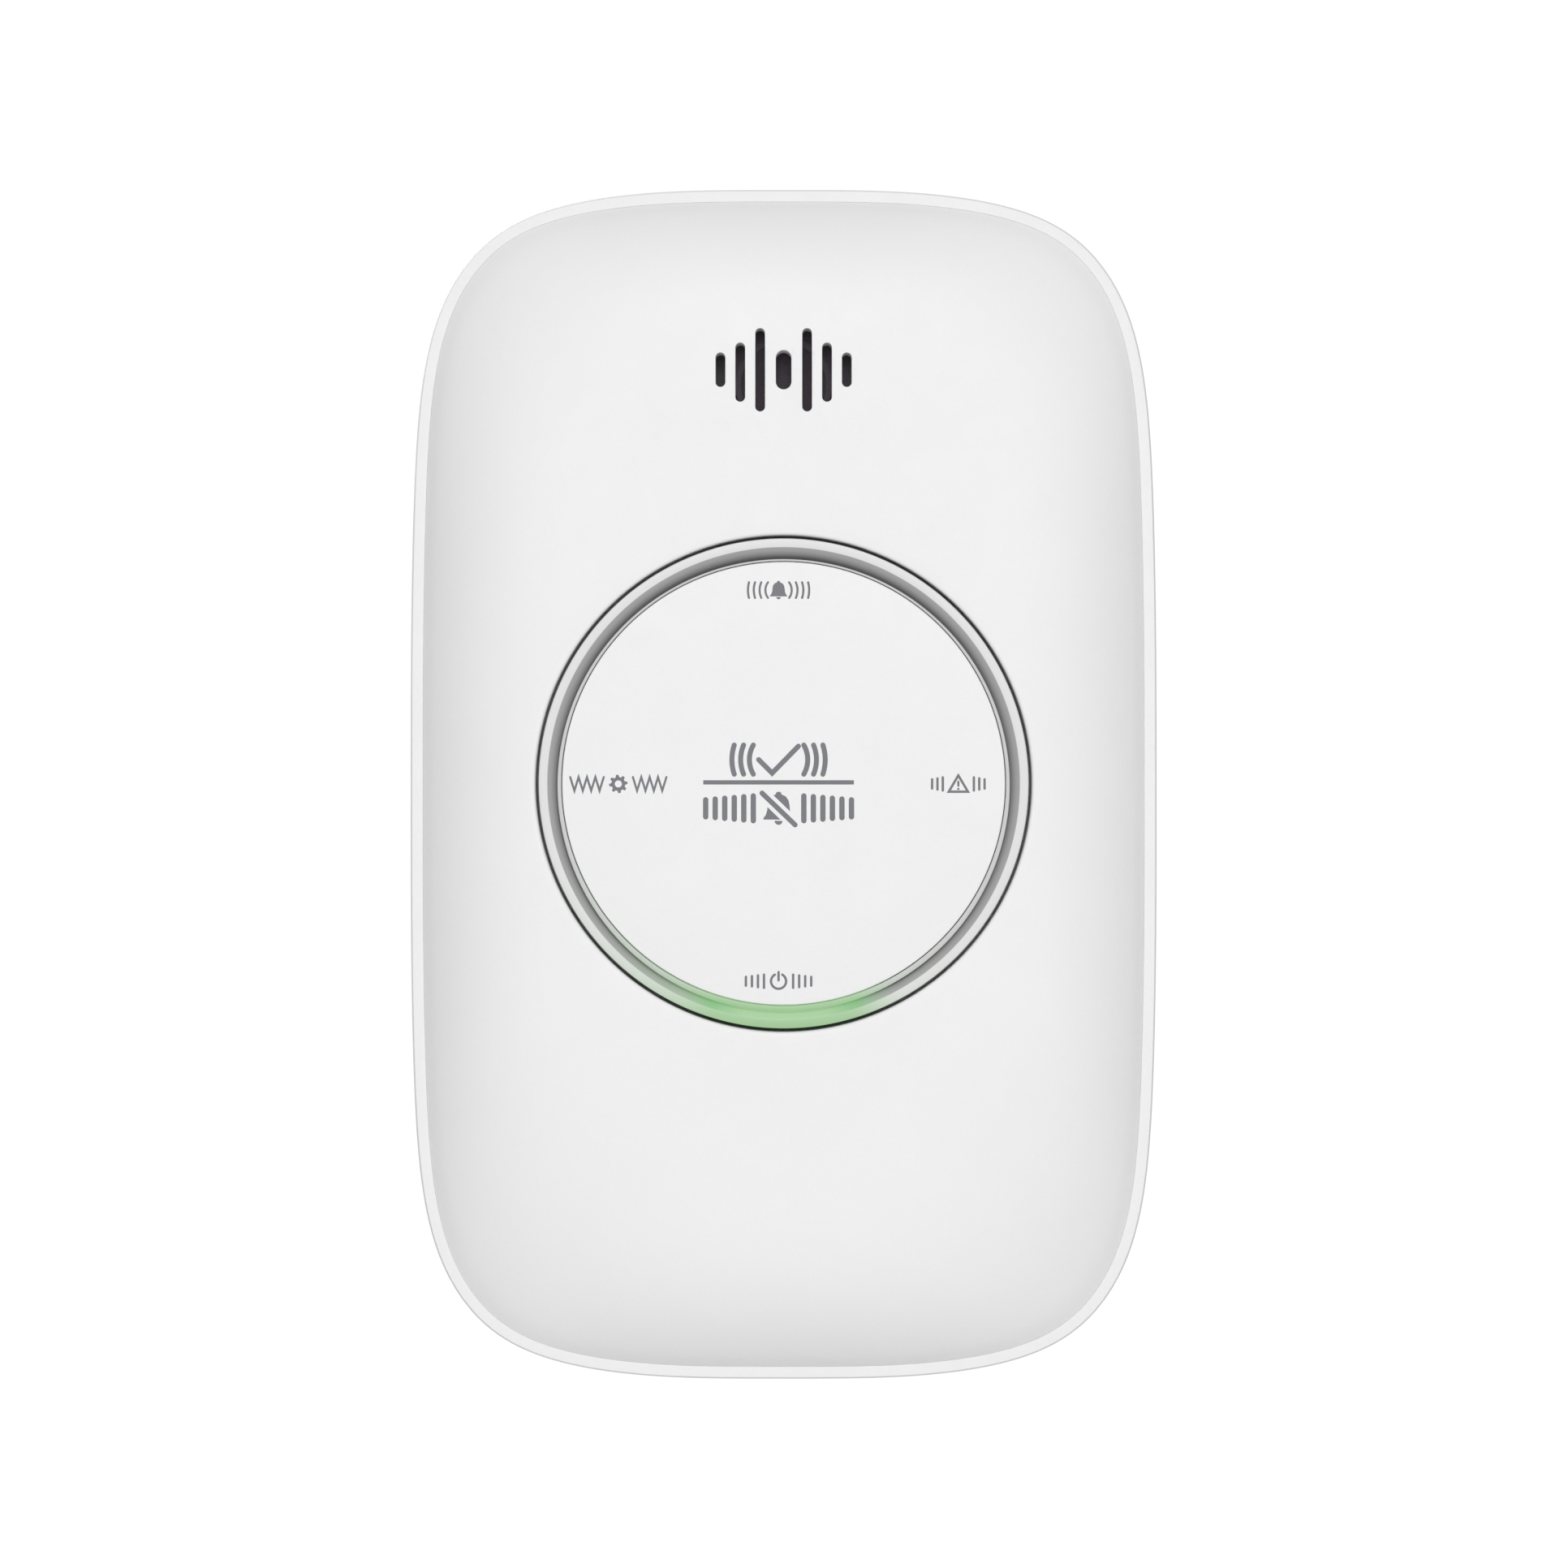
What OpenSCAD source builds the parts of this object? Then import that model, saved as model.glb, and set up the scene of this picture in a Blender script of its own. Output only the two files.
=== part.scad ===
// Battery carbon monoxide alarm on a wall plate.
// Row frame: +X to the right as seen from the room, +Z up, -Y out into the room.
// The origin is on the wall, level with the centre of the round test button.
// Every module below is drawn lying on its back: X across, Y up the front, Z out from the wall.
// upright() then stands it up.

/* [Body] */
// Overall width across the rim
body_w = 78; // [74:0.5:82]
// Overall height along the rim
body_h = 124.3; // [120:0.1:130]
// Depth from the wall to the front face
body_d = 34; // [34:0.5:38]
// Width of the flat rim around the domed front
rim_w = 1.25; // [1:0.05:1.5]
// How far the domed front rises above the rim
dome_rise = 7.5; // [6:0.25:8.5]
// How far in from its edge the domed front becomes flat
dome_w = 17; // [15:0.1:17.5]
// Roundness of the dome's section
dome_power = 3.2; // [2.6:0.1:3.4]
// Fullness of the outline's long sides
side_power = 3.9; // [3.5:0.1:4.5]
// Fullness of the outline's ends
end_power = 5.7; // [5:0.1:6.5]
// Wall thickness of the two shells
shell = 2; // [1.8:0.1:2.2]

/* [Button and light ring] */
// Diameter of the test button's white cap
cap_dia = 45.6; // [44:0.1:48]
// Radial width of the light ring around the cap
ring_w = 2.3; // [2:0.05:2.6]
// How far the test button travels
travel = 0.8; // [0.5:0.1:0.9]

/* [Sounder grille] */
// Height of the grille's centre above the button's centre
grille_y = 42.6; // [42:0.1:44]
// Width of a grille slot
slot_w = 1; // [0.8:0.05:1.1]

/* [Battery bay] */
// Diameter of an AA cell
cell_dia = 14.5; // [14:0.1:14.5]
// Length of an AA cell with its nub
cell_len = 50.5; // [49.5:0.1:50.5]

/* [Wall plate] */
// Distance between the two wall screws
screw_pitch = 40; // [36:0.5:44]
// Diameter of a wall screw's clearance hole
screw_hole = 4.4; // [4:0.1:4.6]

/* [Hidden] */
$fn = 48;

seg = 12;                        // outline points in an eighth of a turn
ring_n = 8 * seg;                // outline points all round

// Heights above the wall
back_z = 0.4;                    // rear edge of the housing's skirt
plate_t = 2.6;                   // wall plate
floor_z = 2.9;                   // back of the rear panel
panel_z = floor_z + 1.8;         // inside of the rear panel
rim_z = body_d - dome_rise;      // flat rim
lap_z = rim_z - 2.5;             // bottom of the front cover's tongue
pcb_z = 21.4;                    // back of the circuit board
pcb_top = pcb_z + 1.6;           // front of the circuit board

// Shells
skirt_tuck = 2.4;                // how far the skirt draws in at the wall
cavity_in = shell + 1.1;         // inset of the rear cavity
pocket_in = skirt_tuck + shell;  // inset of the pocket behind the rear panel
tongue_t = 1.65;                 // thickness of the front cover's tongue
dome_steps = 10;

// Button group
cap_r = cap_dia / 2;
ring_in = cap_r + 0.1;
ring_out = ring_in + ring_w;
hole_r = ring_out + 0.3;
collar_t = 2;
collar_z = 29.2;                 // inner end of the hole's collar
led_r = (ring_in + ring_out) / 2;
guide_pin_r = 14;                // circle of the three guide pins
pin_angles = [30, 150, 270];
guide_z = 25.2;                  // front of the button guide
cap_under = body_d - 2;          // underside of the cap
switch_z = pcb_top + 3.6;        // front of the tact switch's body
plunger_z = 27.6;                // tip of the switch plunger
plunger_share = 0.3;             // plunger travel as a share of the button's
post_gap = travel * (1 - plunger_share) + 0.02;

// Sounder
sounder_y = grille_y - 1.3;
sounder_r = 13;
nozzle_r = 9;
nozzle_z = 29.8;                 // front of the nozzle
boss_z = 30.6;                   // back of the cover's thicker patch behind the grille
piezo_z = 25.6;                  // rear face of the piezo plate
cloth_z = 30.1;                  // seat of the dust cloth

// Wall plate and the rails that hold it
plate_lo = -9;
plate_hi = 42;
plate_half = 27.5;
tab_x = 30.6;                    // outer edge of the plate's tabs
rail_x = 31;                     // inner face of the housing's rails
tab_len = 12;
tab_ys = [-8, 28];               // lower ends of the tabs
tab_z = 1.4;                     // rear face of the tabs
screw_y = 20;                    // height of the wall screws

// Battery bay
bay_half = 29.5;
bay_lo = -46;
bay_hi = -15.5;
bay_top = 19.7;
bay_wall = 1.5;
cell_r = cell_dia / 2;
cell_z = panel_z + 0.2 + cell_r;
cell_ys = [bay_hi - 0.5 - cell_r, bay_hi - 1 - 3 * cell_r];
contact_x = 29;                  // inner face of the contact plates
nub_tip = contact_x - 0.02;      // how far from the middle a cell's nub ends
contact_t = 0.4;
tab_out_z = 16;                  // height of the terminals' solder tabs

// Battery door
hinge_y = -49.5;
hinge_z = 4.6;
barrel_r = hinge_z - floor_z;
barrel_half = 26.9;
stub_r = 0.9;
bore_r = stub_r + 0.07;
door_half = 29.6;
door_hi = -13.6;
open_half = 30;
open_hi = -13.3;
open_lo = -51.9;

// Fasteners
case_screw_at = [[-28, 48], [28, 48], [0, -56.2]];
pcb_screw_at = [[-28.4, 24], [28.4, 24], [-28.4, -9], [28.4, -9]];
boss_split = 12;                 // where the rear and front screw bosses meet
seat_z = 8;                      // seat of the case screws' heads

// Parts on the back of the circuit board
sensor_at = [-17, 32];
sensor_r = 10;
capacitor_at = [[12, 12], [22, 12]];
coil_at = [14, 44];
connector_at = [22, -3];
lead_r = 0.65;
spring_r = 0.42;                 // half the wire of a contact spring
red_route = [
    [32.2, -23.2, 17.1], [33.2, -20.5, 17.2], [33.4, -17, 17.1], [33, -11, 17.4],
    [32, -7, 17.9], [30, -4.6, 18.2], [27.8, -4.2, 18.2], [25.8, -4.2, 18.2]
];
black_route = [
    [32.2, -38.2, 17.1], [33.5, -35.5, 17], [34, -31, 15.4], [34.1, -24, 14.4],
    [34, -17, 14.6], [33.6, -11, 15.2], [32.8, -5.5, 16.4], [30.6, -2.2, 17.8],
    [28, -1.6, 18.2], [25.8, -1.6, 18.2]
];

// ---------------------------------------------------------------- shared shapes

module upright() rotate([90, 0, 0]) children();

// A point of the outline's first quarter, as shares of the half width and half height
knee_y = pow(sin(45), 2 / end_power);
knee_x = pow(cos(45), 2 / side_power);
function corner(i) = i <= seg
    ? let (v = knee_y * i / seg) [pow(1 - pow(v, end_power), 1 / side_power), v]
    : let (w = knee_x * (2 * seg - i) / seg) [w, pow(1 - pow(w, side_power), 1 / end_power)];

function unit_point(j) = let (
    q = floor(j / (2 * seg)),
    i = j - 2 * seg * q,
    p = corner(q % 2 == 0 ? i : 2 * seg - i)
) [(q == 1 || q == 2) ? -p.x : p.x, q >= 2 ? -p.y : p.y];

// The body's outline, drawn in by inset
function outline(inset) = [
    for (j = [0 : ring_n - 1]) let (p = unit_point(j))
        [(body_w / 2 - inset) * p.x, (body_h / 2 - inset) * p.y]
];

module slab(inset, z0, z1)
    translate([0, 0, z0]) linear_extrude(z1 - z0) polygon(outline(inset));

// A solid through a list of [inset, z] outlines, from the lowest to the highest
module stack(rings) {
    last = (len(rings) - 1) * ring_n;
    polyhedron(
        points = [for (r = rings) for (p = outline(r[0])) [p.x, p.y, r[1]]],
        faces = concat(
            [[for (j = [0 : ring_n - 1]) j]],
            [[for (j = [ring_n - 1 : -1 : 0]) last + j]],
            [for (k = [0 : len(rings) - 2]) for (j = [0 : ring_n - 1])
                let (a = k * ring_n, b = a + ring_n, j1 = (j + 1) % ring_n)
                    [a + j, b + j, b + j1, a + j1]]
        )
    );
}

// Height of the domed front's outer surface at a distance in from its edge
function dome_z(d) = rim_z + dome_rise * (1 - pow(max(0, 1 - d / dome_w), dome_power));

// How far in from the domed front's edge a point lies, found by halving
function inset_at(p, lo = 0, hi = 30, n = 16) = n == 0 ? (lo + hi) / 2 : let (
    mid = (lo + hi) / 2,
    w = body_w / 2 - rim_w - mid,
    h = body_h / 2 - rim_w - mid,
    out = pow(abs(p.x) / w, side_power) + pow(abs(p.y) / h, end_power)
) out > 1 ? inset_at(p, lo, mid, n - 1) : inset_at(p, mid, hi, n - 1);

module ring(r_out, r_in, z0, z1) translate([0, 0, z0]) difference() {
    cylinder(r = r_out, h = z1 - z0);
    translate([0, 0, -1]) cylinder(r = r_in, h = z1 - z0 + 2);
}

module rod(r, z0, z1) translate([0, 0, z0]) cylinder(r = r, h = z1 - z0);

module rod_x(r, x0, x1) translate([x0, 0, 0]) rotate([0, 90, 0]) cylinder(r = r, h = x1 - x0);

// A box given by its lowest and highest corners
module box(lo, hi) translate(lo) cube(hi - lo);

// A plate with rounded corners, centred on the origin
module round_plate(w, h, t, r) {
    translate([-w / 2 + r, -h / 2, 0]) cube([w - 2 * r, h, t]);
    translate([-w / 2, -h / 2 + r, 0]) cube([w, h - 2 * r, t]);
    for (sx = [-1, 1], sy = [-1, 1])
        translate([sx * (w / 2 - r), sy * (h / 2 - r), 0]) cylinder(r = r, h = t);
}

module both_sides() {
    children();
    mirror([1, 0, 0]) children();
}

// A slot with round ends, upright along Y
module slot(w, len, z0, z1) translate([0, 0, z0]) {
    translate([-w / 2, -(len - w) / 2, 0]) cube([w, len - w, z1 - z0]);
    for (s = [-1, 1]) translate([0, s * (len - w) / 2, 0]) cylinder(d = w, h = z1 - z0);
}

// A round wire swept along points, with a flat end at each side
function unit(v) = v / norm(v);
function tangent(pts, i) = unit(pts[min(i + 1, len(pts) - 1)] - pts[max(i - 1, 0)]);
module wire(pts, r, sides = 8) {
    n = len(pts);
    points = [
        for (i = [0 : n - 1])
            let (t = tangent(pts, i), u = unit(cross(t, [0.02, 0.03, 1])), v = cross(t, u))
                for (s = [0 : sides - 1])
                    let (a = 360 * s / sides) pts[i] + r * (cos(a) * u + sin(a) * v)
    ];
    faces = concat(
        [[for (s = [0 : sides - 1]) s]],
        [[for (s = [sides - 1 : -1 : 0]) (n - 1) * sides + s]],
        [for (i = [0 : n - 2]) for (s = [0 : sides - 1])
            let (a = i * sides, b = a + sides, s1 = (s + 1) % sides) [a + s, b + s, b + s1, a + s1]]
    );
    polyhedron(points = points, faces = faces);
}

// Points of a smooth curve through a route, steps between each pair of points
function curve(pts, steps) = concat([
    for (i = [0 : len(pts) - 2]) for (k = [0 : steps - 1]) let (
        t = k / steps,
        p0 = pts[max(i - 1, 0)], p1 = pts[i], p2 = pts[i + 1], p3 = pts[min(i + 2, len(pts) - 1)]
    ) 0.5 * (2 * p1 + (p2 - p0) * t + (2 * p0 - 5 * p1 + 4 * p2 - p3) * t * t
        + (3 * p1 - p0 - 3 * p2 + p3) * t * t * t)
], [pts[len(pts) - 1]]);

// Points of a coil about Z that may taper from r0 to r1
function coil(r0, r1, z0, z1, turns, per_turn) = [
    for (i = [0 : turns * per_turn]) let (
        s = i / (turns * per_turn), a = 360 * i / per_turn, r = r0 + (r1 - r0) * s
    ) [r * cos(a), r * sin(a), z0 + (z1 - z0) * s]
];

// ---------------------------------------------------------------- wall plate

module wall_plate() color("whitesmoke") upright() {
    mid = (plate_lo + plate_hi) / 2;
    head_r = 4.2;
    cone_z = 0.9;
    difference() {
        union() {
            translate([0, mid, 0]) round_plate(2 * plate_half, plate_hi - plate_lo, plate_t, 3);
            for (y = tab_ys) both_sides()
                box([plate_half - 1, y, tab_z], [tab_x, y + tab_len, plate_t]);
        }
        both_sides() translate([screw_pitch / 2, screw_y, 0]) {
            rod(screw_hole / 2, -1, plate_t + 1);
            translate([0, 0, cone_z])
                cylinder(r1 = screw_hole / 2, r2 = head_r, h = plate_t - cone_z);
            rod(head_r, plate_t - 0.3, plate_t + 1);
        }
        both_sides() translate([20, 4, 0]) slot(6, 12, 1, plate_t + 1);
        both_sides() translate([20, 35, 0]) slot(6, 9, 1, plate_t + 1);
        up_arrow(plate_t - 0.5);
    }
}

// Arrow sunk into the plate's front, pointing up
module up_arrow(z0) translate([0, 0, z0]) {
    linear_extrude(1) polygon([[-3.6, 18.5], [3.6, 18.5], [0, 23.5]]);
    translate([-1.2, 13.5, 0]) cube([2.4, 6, 1]);
}

// ---------------------------------------------------------------- rear housing

function skirt_inset(z) = skirt_tuck * pow((rim_z - z) / (rim_z - back_z), 4);

module rear_housing() color("white") upright() difference() {
    union() {
        difference() {
            stack([for (z = [back_z, 1.2, 2.4, 4.5, 7.5, 11.5, 17, rim_z]) [skirt_inset(z), z]]);
            slab(cavity_in, panel_z, rim_z + 1);
            slab(rim_w, lap_z - 0.1, rim_z + 1);
            slab(pocket_in, -1, floor_z);
            door_opening(-1, panel_z + 1);
        }
        plate_rails();
        battery_bay();
        hinge_lugs();
        for (p = case_screw_at) translate(p) rod(4.2, floor_z, boss_split);
        for (p = pcb_screw_at) translate(p) rod(2.4, panel_z - 0.5, pcb_z - 0.02);
    }
    box([-31.5, -body_h / 2 - 1, -1], [31.5, -44, floor_z]);
    both_sides() translate([0, hinge_y, hinge_z]) rod_x(bore_r, 20, open_half - 0.3);
    for (p = case_screw_at) translate(p) {
        rod(3, -1, seat_z);
        rod(1.6, -1, boss_split + 1);
    }
    for (p = pcb_screw_at) translate(p) rod(1.15, 12, pcb_z + 1);
    side_vents();
    translate([0, open_hi, floor_z - 7]) rod_x(8, -8, 8);
    for (y = cell_ys) terminal_slot(y);
}

module door_opening(z0, z1) box([-open_half, open_lo, z0], [open_half, open_hi, z1]);

// Rails beside the wall plate, the lips that hook behind its tabs and the stop it hangs from
module plate_rails() {
    both_sides() {
        box([rail_x, plate_lo - 1, back_z], [rail_x + 1.6, plate_hi + 1.6, floor_z + 0.5]);
        for (y = tab_ys) box([rail_x - 2, y, back_z], [rail_x + 0.5, y + tab_len, tab_z - 0.2]);
    }
    box([-20, plate_hi + 0.05, back_z], [20, plate_hi + 1.6, floor_z + 0.5]);
}

// Walls round the two cells and the trough over the door's hinge
module battery_bay() difference() {
    out = bay_half + bay_wall;
    union() {
        box([-out, bay_lo - bay_wall, floor_z + 0.6], [out, bay_hi + 3, bay_top + 1.2]);
        box([-out, open_lo - bay_wall, floor_z + 0.6], [out, bay_lo - 0.5, 7.8]);
    }
    box([-bay_half, bay_lo, 0], [bay_half, bay_hi, bay_top]);
    box([-open_half, open_lo, 0], [open_half, bay_lo - bay_wall, 6.9]);
    door_opening(0, panel_z + 0.3);
}

module hinge_lugs() both_sides() translate([0, hinge_y, hinge_z]) {
    rod_x(barrel_r, barrel_half + 0.3, open_half + 0.5);
    box([barrel_half + 0.3, -barrel_r, 0], [open_half + 0.5, barrel_r, 2.6]);
}

// Upright slits in both flanks, beside the gas sensor
module side_vents() both_sides() for (k = [0 : 8])
    translate([32, 17 + 3.4 * k, 15]) rotate([0, 90, 0]) rotate([0, 0, 90]) slot(1.4, 12, 0, 10);

module terminal_slot(y)
    box([bay_half - 0.5, y - 1.7, tab_out_z - 0.15],
        [bay_half + bay_wall + 0.5, y + 1.7, tab_out_z + contact_t + 0.15]);

// ---------------------------------------------------------------- front cover

// Slope of the domed front's section, in degrees from flat
function dome_slope(d) =
    atan(dome_rise * dome_power / dome_w * pow(max(0, 1 - d / dome_w), dome_power - 1));

module front_cover() color("white") upright() difference() {
    union() {
        difference() {
            stack(concat(
                [[rim_w + 0.05, lap_z], [rim_w + 0.05, rim_z + 0.02]],
                [for (k = [1 : dome_steps]) let (d = dome_w * k / dome_steps)
                    [rim_w + d, dome_z(d)]]
            ));
            stack(concat(
                [[rim_w + tongue_t, lap_z - 1], [rim_w + tongue_t, rim_z - 1.2]],
                [for (k = [1 : dome_steps])
                    let (d = dome_w * k / dome_steps, slope = dome_slope(d))
                        [rim_w + d + shell * sin(slope), dome_z(d) - shell * cos(slope)]]
            ));
        }
        rod(hole_r + collar_t, collar_z, body_d - 1, $fn = 96);
        intersection() {
            translate([0, sounder_y, 0]) {
                ring(nozzle_r + 1.8, nozzle_r + 0.6, 28.9, body_d);
                rod(nozzle_r + 1, boss_z, body_d);
            }
            slab(9, 28, body_d - 1.2);
        }
        for (p = case_screw_at) translate(p) rod(2.6, boss_split + 0.1, dome_z(inset_at(p) - 2.6) - 0.8);
    }
    rod(hole_r, 20, body_d + 1, $fn = 96);
    grille_slots(28.5, body_d + 1);
    for (p = case_screw_at) translate(p) rod(1.45, boss_split - 1, 25);
}

// Seven upright slots: [distance from the middle, width, length, height offset]
module grille_slots(z0, z1) translate([0, grille_y, 0]) {
    slot(1.6 * slot_w, 4.05, z0, z1);
    for (s = [[2.42, 8.6, 0], [4.47, 6.1, -0.25], [6.51, 3.55, 0]]) both_sides()
        translate([s[0], s[2], 0]) slot(slot_w, s[1], z0, z1);
}

// ---------------------------------------------------------------- battery door

module battery_door() color("whitesmoke") upright() difference() {
    union() {
        box([-door_half, hinge_y + 2.2, floor_z], [door_half, door_hi, panel_z]);
        box([-barrel_half, hinge_y, floor_z], [barrel_half, hinge_y + 2.5, panel_z]);
        translate([0, hinge_y, hinge_z]) {
            rod_x(barrel_r, -barrel_half, barrel_half);
            rod_x(stub_r, -open_half + 0.6, open_half - 0.6);
        }
        for (y = [-36, -26]) box([-27, y - 0.5, panel_z - 0.3], [27, y + 0.5, panel_z + 0.15]);
        both_sides() box([10, door_hi - 0.3, 3.4], [16, door_hi + 0.12, 4.2]);
    }
    translate([0, door_hi + 1.5, floor_z - 7]) rod_x(8, -8, 8);
    for (k = [0 : 3]) box([-9, -23 - 1.8 * k, floor_z - 1], [9, -22.2 - 1.8 * k, floor_z + 0.4]);
}

// ---------------------------------------------------------------- test button

module button_cap() color("white") upright() {
    rotate_extrude($fn = 96) polygon([
        [0, cap_under], [cap_r - 1.6, cap_under], [cap_r - 1.6, 27.45], [cap_r, 27.45],
        [cap_r, body_d - 0.25], [cap_r - 0.07, body_d - 0.07], [cap_r - 0.25, body_d], [0, body_d]
    ]);
    rod(2.4, plunger_z + post_gap, cap_under + 0.5);
    for (a = pin_angles) rotate(a) translate([guide_pin_r, 0, 0]) {
        rod(1.2, 24, cap_under + 0.5);
        rod(3.2, cap_under - 0.8, cap_under + 0.5);
    }
    for (a = [0, 60, 120]) rotate(a) translate([-cap_r + 1, -0.5, cap_under - 1.2])
        cube([2 * cap_r - 2, 1, 1.6]);
}

// Clear ring: an inner lip, a sloping groove and a flat land, with a flange under the cover
module light_ring() color([0.93, 0.95, 0.93]) upright() rotate_extrude($fn = 96) polygon([
    [ring_in - 1.5, 27], [ring_out + 1.6, 27], [ring_out + 1.6, 28.9], [ring_out, 28.9],
    [ring_out, body_d - 0.2], [ring_out - 0.06, body_d - 0.06], [ring_out - 0.2, body_d],
    [ring_in + 1.37, body_d], [ring_in + 0.42, body_d - 1.05], [ring_in + 0.37, body_d - 0.3],
    [ring_in, body_d - 0.3], [ring_in, 27.4], [ring_in - 1.5, 27.4]
]);

// Moulded frame on the board that guides the button's three pins
module button_guide() color("white") upright() difference() {
    union() {
        ring(7.5, 5.5, pcb_top + 0.02, guide_z);
        for (a = pin_angles) rotate(a) {
            box([6.5, -1.5, pcb_top + 0.02], [guide_pin_r, 1.5, guide_z - 0.6]);
            translate([guide_pin_r, 0, 0]) rod(3.4, pcb_top + 0.02, guide_z);
        }
        ring(20.4, 19.2, pcb_top + 0.02, guide_z);
        for (a = pin_angles) rotate(a)
            box([guide_pin_r + 2, -1.5, pcb_top + 0.02], [19.6, 1.5, guide_z - 0.6]);
    }
    for (a = pin_angles) rotate(a) translate([guide_pin_r, 0, 0]) rod(1.29, pcb_top - 1, guide_z + 1);
}

module return_springs() color("silver") upright() for (a = pin_angles)
    rotate(a) translate([guide_pin_r, 0, 0])
        wire(coil(2, 2, guide_z + 0.28, cap_under - 1.08, 5, 14), 0.22, 6);

// White walls that carry the indicators' light up to the ring
module reflector_ring() color("white") upright() difference() {
    union() {
        ring(ring_in - 0.35, ring_in - 0.95, pcb_top + 0.02, 26);
        ring(ring_out + 1.4, ring_out + 0.8, pcb_top + 0.02, 26);
        ring(ring_out + 1, ring_in - 0.6, pcb_top + 0.02, pcb_top + 0.5);
    }
    for (a = [0 : 90 : 270]) rotate(a) translate([led_r, 0, pcb_top]) cube([2.6, 4.2, 3], center = true);
}

module indicator(angle, shade) upright() rotate(angle) translate([led_r, 0, pcb_top + 0.02]) {
    color("white") translate([-0.9, -1.7, 0]) cube([1.8, 3.4, 0.7]);
    color(shade) translate([-0.7, -1.2, 0.6]) cube([1.4, 2.4, 0.6]);
}
module alarm_led() indicator(90, "red");
module fault_led() indicator(0, "orange");
module power_led() indicator(270, "lime");
module malfunction_led() indicator(180, "yellow");

module tact_switch() color([0.2, 0.2, 0.2]) upright() difference() {
    union() {
        translate([0, 0, pcb_top + 0.02]) round_plate(6.2, 6.2, switch_z - pcb_top - 0.02, 0.5);
        for (sx = [-1, 1], sy = [-1, 1])
            box([sx * 3.6 - 0.35, sy * 2.2 - 0.35, pcb_top + 0.02], [sx * 3.6 + 0.35, sy * 2.2 + 0.35, 24.4]);
        for (sy = [-1, 1]) box([-3.9, sy * 2.2 - 0.3, 23.9], [3.9, sy * 2.2 + 0.3, 24.4]);
    }
    rod(1.84, 25.6, 30);
}

module tact_plunger() color("dimgray") upright() rod(1.75, 26, plunger_z);

// ---------------------------------------------------------------- circuit board

module main_pcb() color("darkgreen") upright() difference() {
    translate([0, 0, pcb_z]) linear_extrude(pcb_top - pcb_z) polygon([
        [-31.5, -28], [-29.5, -30], [29.5, -30], [31.5, -28], [31.5, 43.2], [24, 43.2],
        [24, 55], [-24, 55], [-24, 43.2], [-31.5, 43.2]
    ]);
    for (p = pcb_screw_at) translate(p) rod(1.4, 20, 25);
    for (a = [90, 210, 330]) translate(sensor_at) rotate(a) translate([5.5, 0, 0]) rod(0.6, 20, 25);
    for (s = [-1, 1]) translate([s * 6, sounder_y - 6, 0]) rod(0.6, 20, 25);
}

module microcontroller() color([0.12, 0.12, 0.13]) upright() translate([14, 29, pcb_z - 0.02]) {
    translate([-4, -4, -1.5]) cube([8, 8, 1.4]);
    for (a = [0 : 90 : 270], k = [-4 : 4]) rotate(a) translate([k * 0.8 - 0.15, 3.9, -0.6])
        cube([0.3, 1.2, 0.6]);
}

// Small chips and resistors in rows on the back of the board
module chip_components() color([0.25, 0.2, 0.16]) upright() {
    for (i = [0 : 6], j = [0 : 2]) translate([-22 + 4.2 * i, -10 + 4 * j, pcb_z - 0.82])
        cube([i % 2 == 0 ? 2 : 1.6, j % 2 == 0 ? 1.2 : 0.8, 0.8]);
    for (i = [0 : 4]) translate([4 + 4 * i, 18.5, pcb_z - 0.72]) cube([1.6, 0.8, 0.7]);
    for (i = [0 : 3]) translate([-24 + 5 * i, 6, pcb_z - 1.02]) cube([3, 1.7, 1]);
    translate([8.5, -9, pcb_z - 1.62]) cube([5, 4, 1.6]);
}

module electrolytic_capacitors() color("midnightblue") upright() for (p = capacitor_at)
    translate(p) {
        rod(3.15, pcb_z - 7.5, pcb_z - 1.4);
        rod(2.9, pcb_z - 1.6, pcb_z - 0.9);
        translate([-3.3, -3.3, pcb_z - 1]) cube([6.6, 6.6, 0.98]);
    }

module step_up_coil() color([0.3, 0.3, 0.32]) upright() translate(coil_at) {
    rod(4.5, pcb_z - 1.3, pcb_z - 0.02);
    rod(3.6, pcb_z - 5, pcb_z - 1.2);
    rod(4.5, pcb_z - 6, pcb_z - 4.9);
}

// ---------------------------------------------------------------- gas sensor

can_z = pcb_z - 13;
base_z = pcb_z - 2.2;

module co_sensor_can() color("silver") upright() translate(sensor_at) difference() {
    rod(sensor_r, can_z, base_z);
    rod(sensor_r - 0.5, can_z + 0.6, base_z + 1);
    rod(5, can_z - 1, can_z + 1);
}

module co_sensor_base() color([0.15, 0.15, 0.15]) upright() translate(sensor_at) {
    rod(sensor_r, base_z + 0.02, pcb_z - 0.02);
    rod(sensor_r - 0.6, base_z - 3, base_z + 0.1);
}

module sensor_filter() color("dimgray") upright() translate(sensor_at)
    rod(sensor_r - 1.5, can_z + 0.62, can_z + 1.6);

module sensor_pins() color("gold") upright() for (a = [90, 210, 330])
    translate(sensor_at) rotate(a) translate([5.5, 0, 0]) rod(0.45, pcb_z - 0.01, pcb_top + 1, $fn = 16);

// ---------------------------------------------------------------- sounder

module sounder_housing() color([0.1, 0.1, 0.1]) upright() translate([0, sounder_y, 0]) difference() {
    union() {
        rod(sounder_r, pcb_top + 0.02, 28.6);
        rod(nozzle_r, 28, nozzle_z);
        rod(5, nozzle_z - 1, boss_z - 0.15);
    }
    rod(11.8, pcb_top - 1, piezo_z + 0.35);
    rod(10.6, pcb_top, 27.4);
    rod(3.9, 27, body_d);
    rod(4.4, cloth_z, body_d);
}

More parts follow.
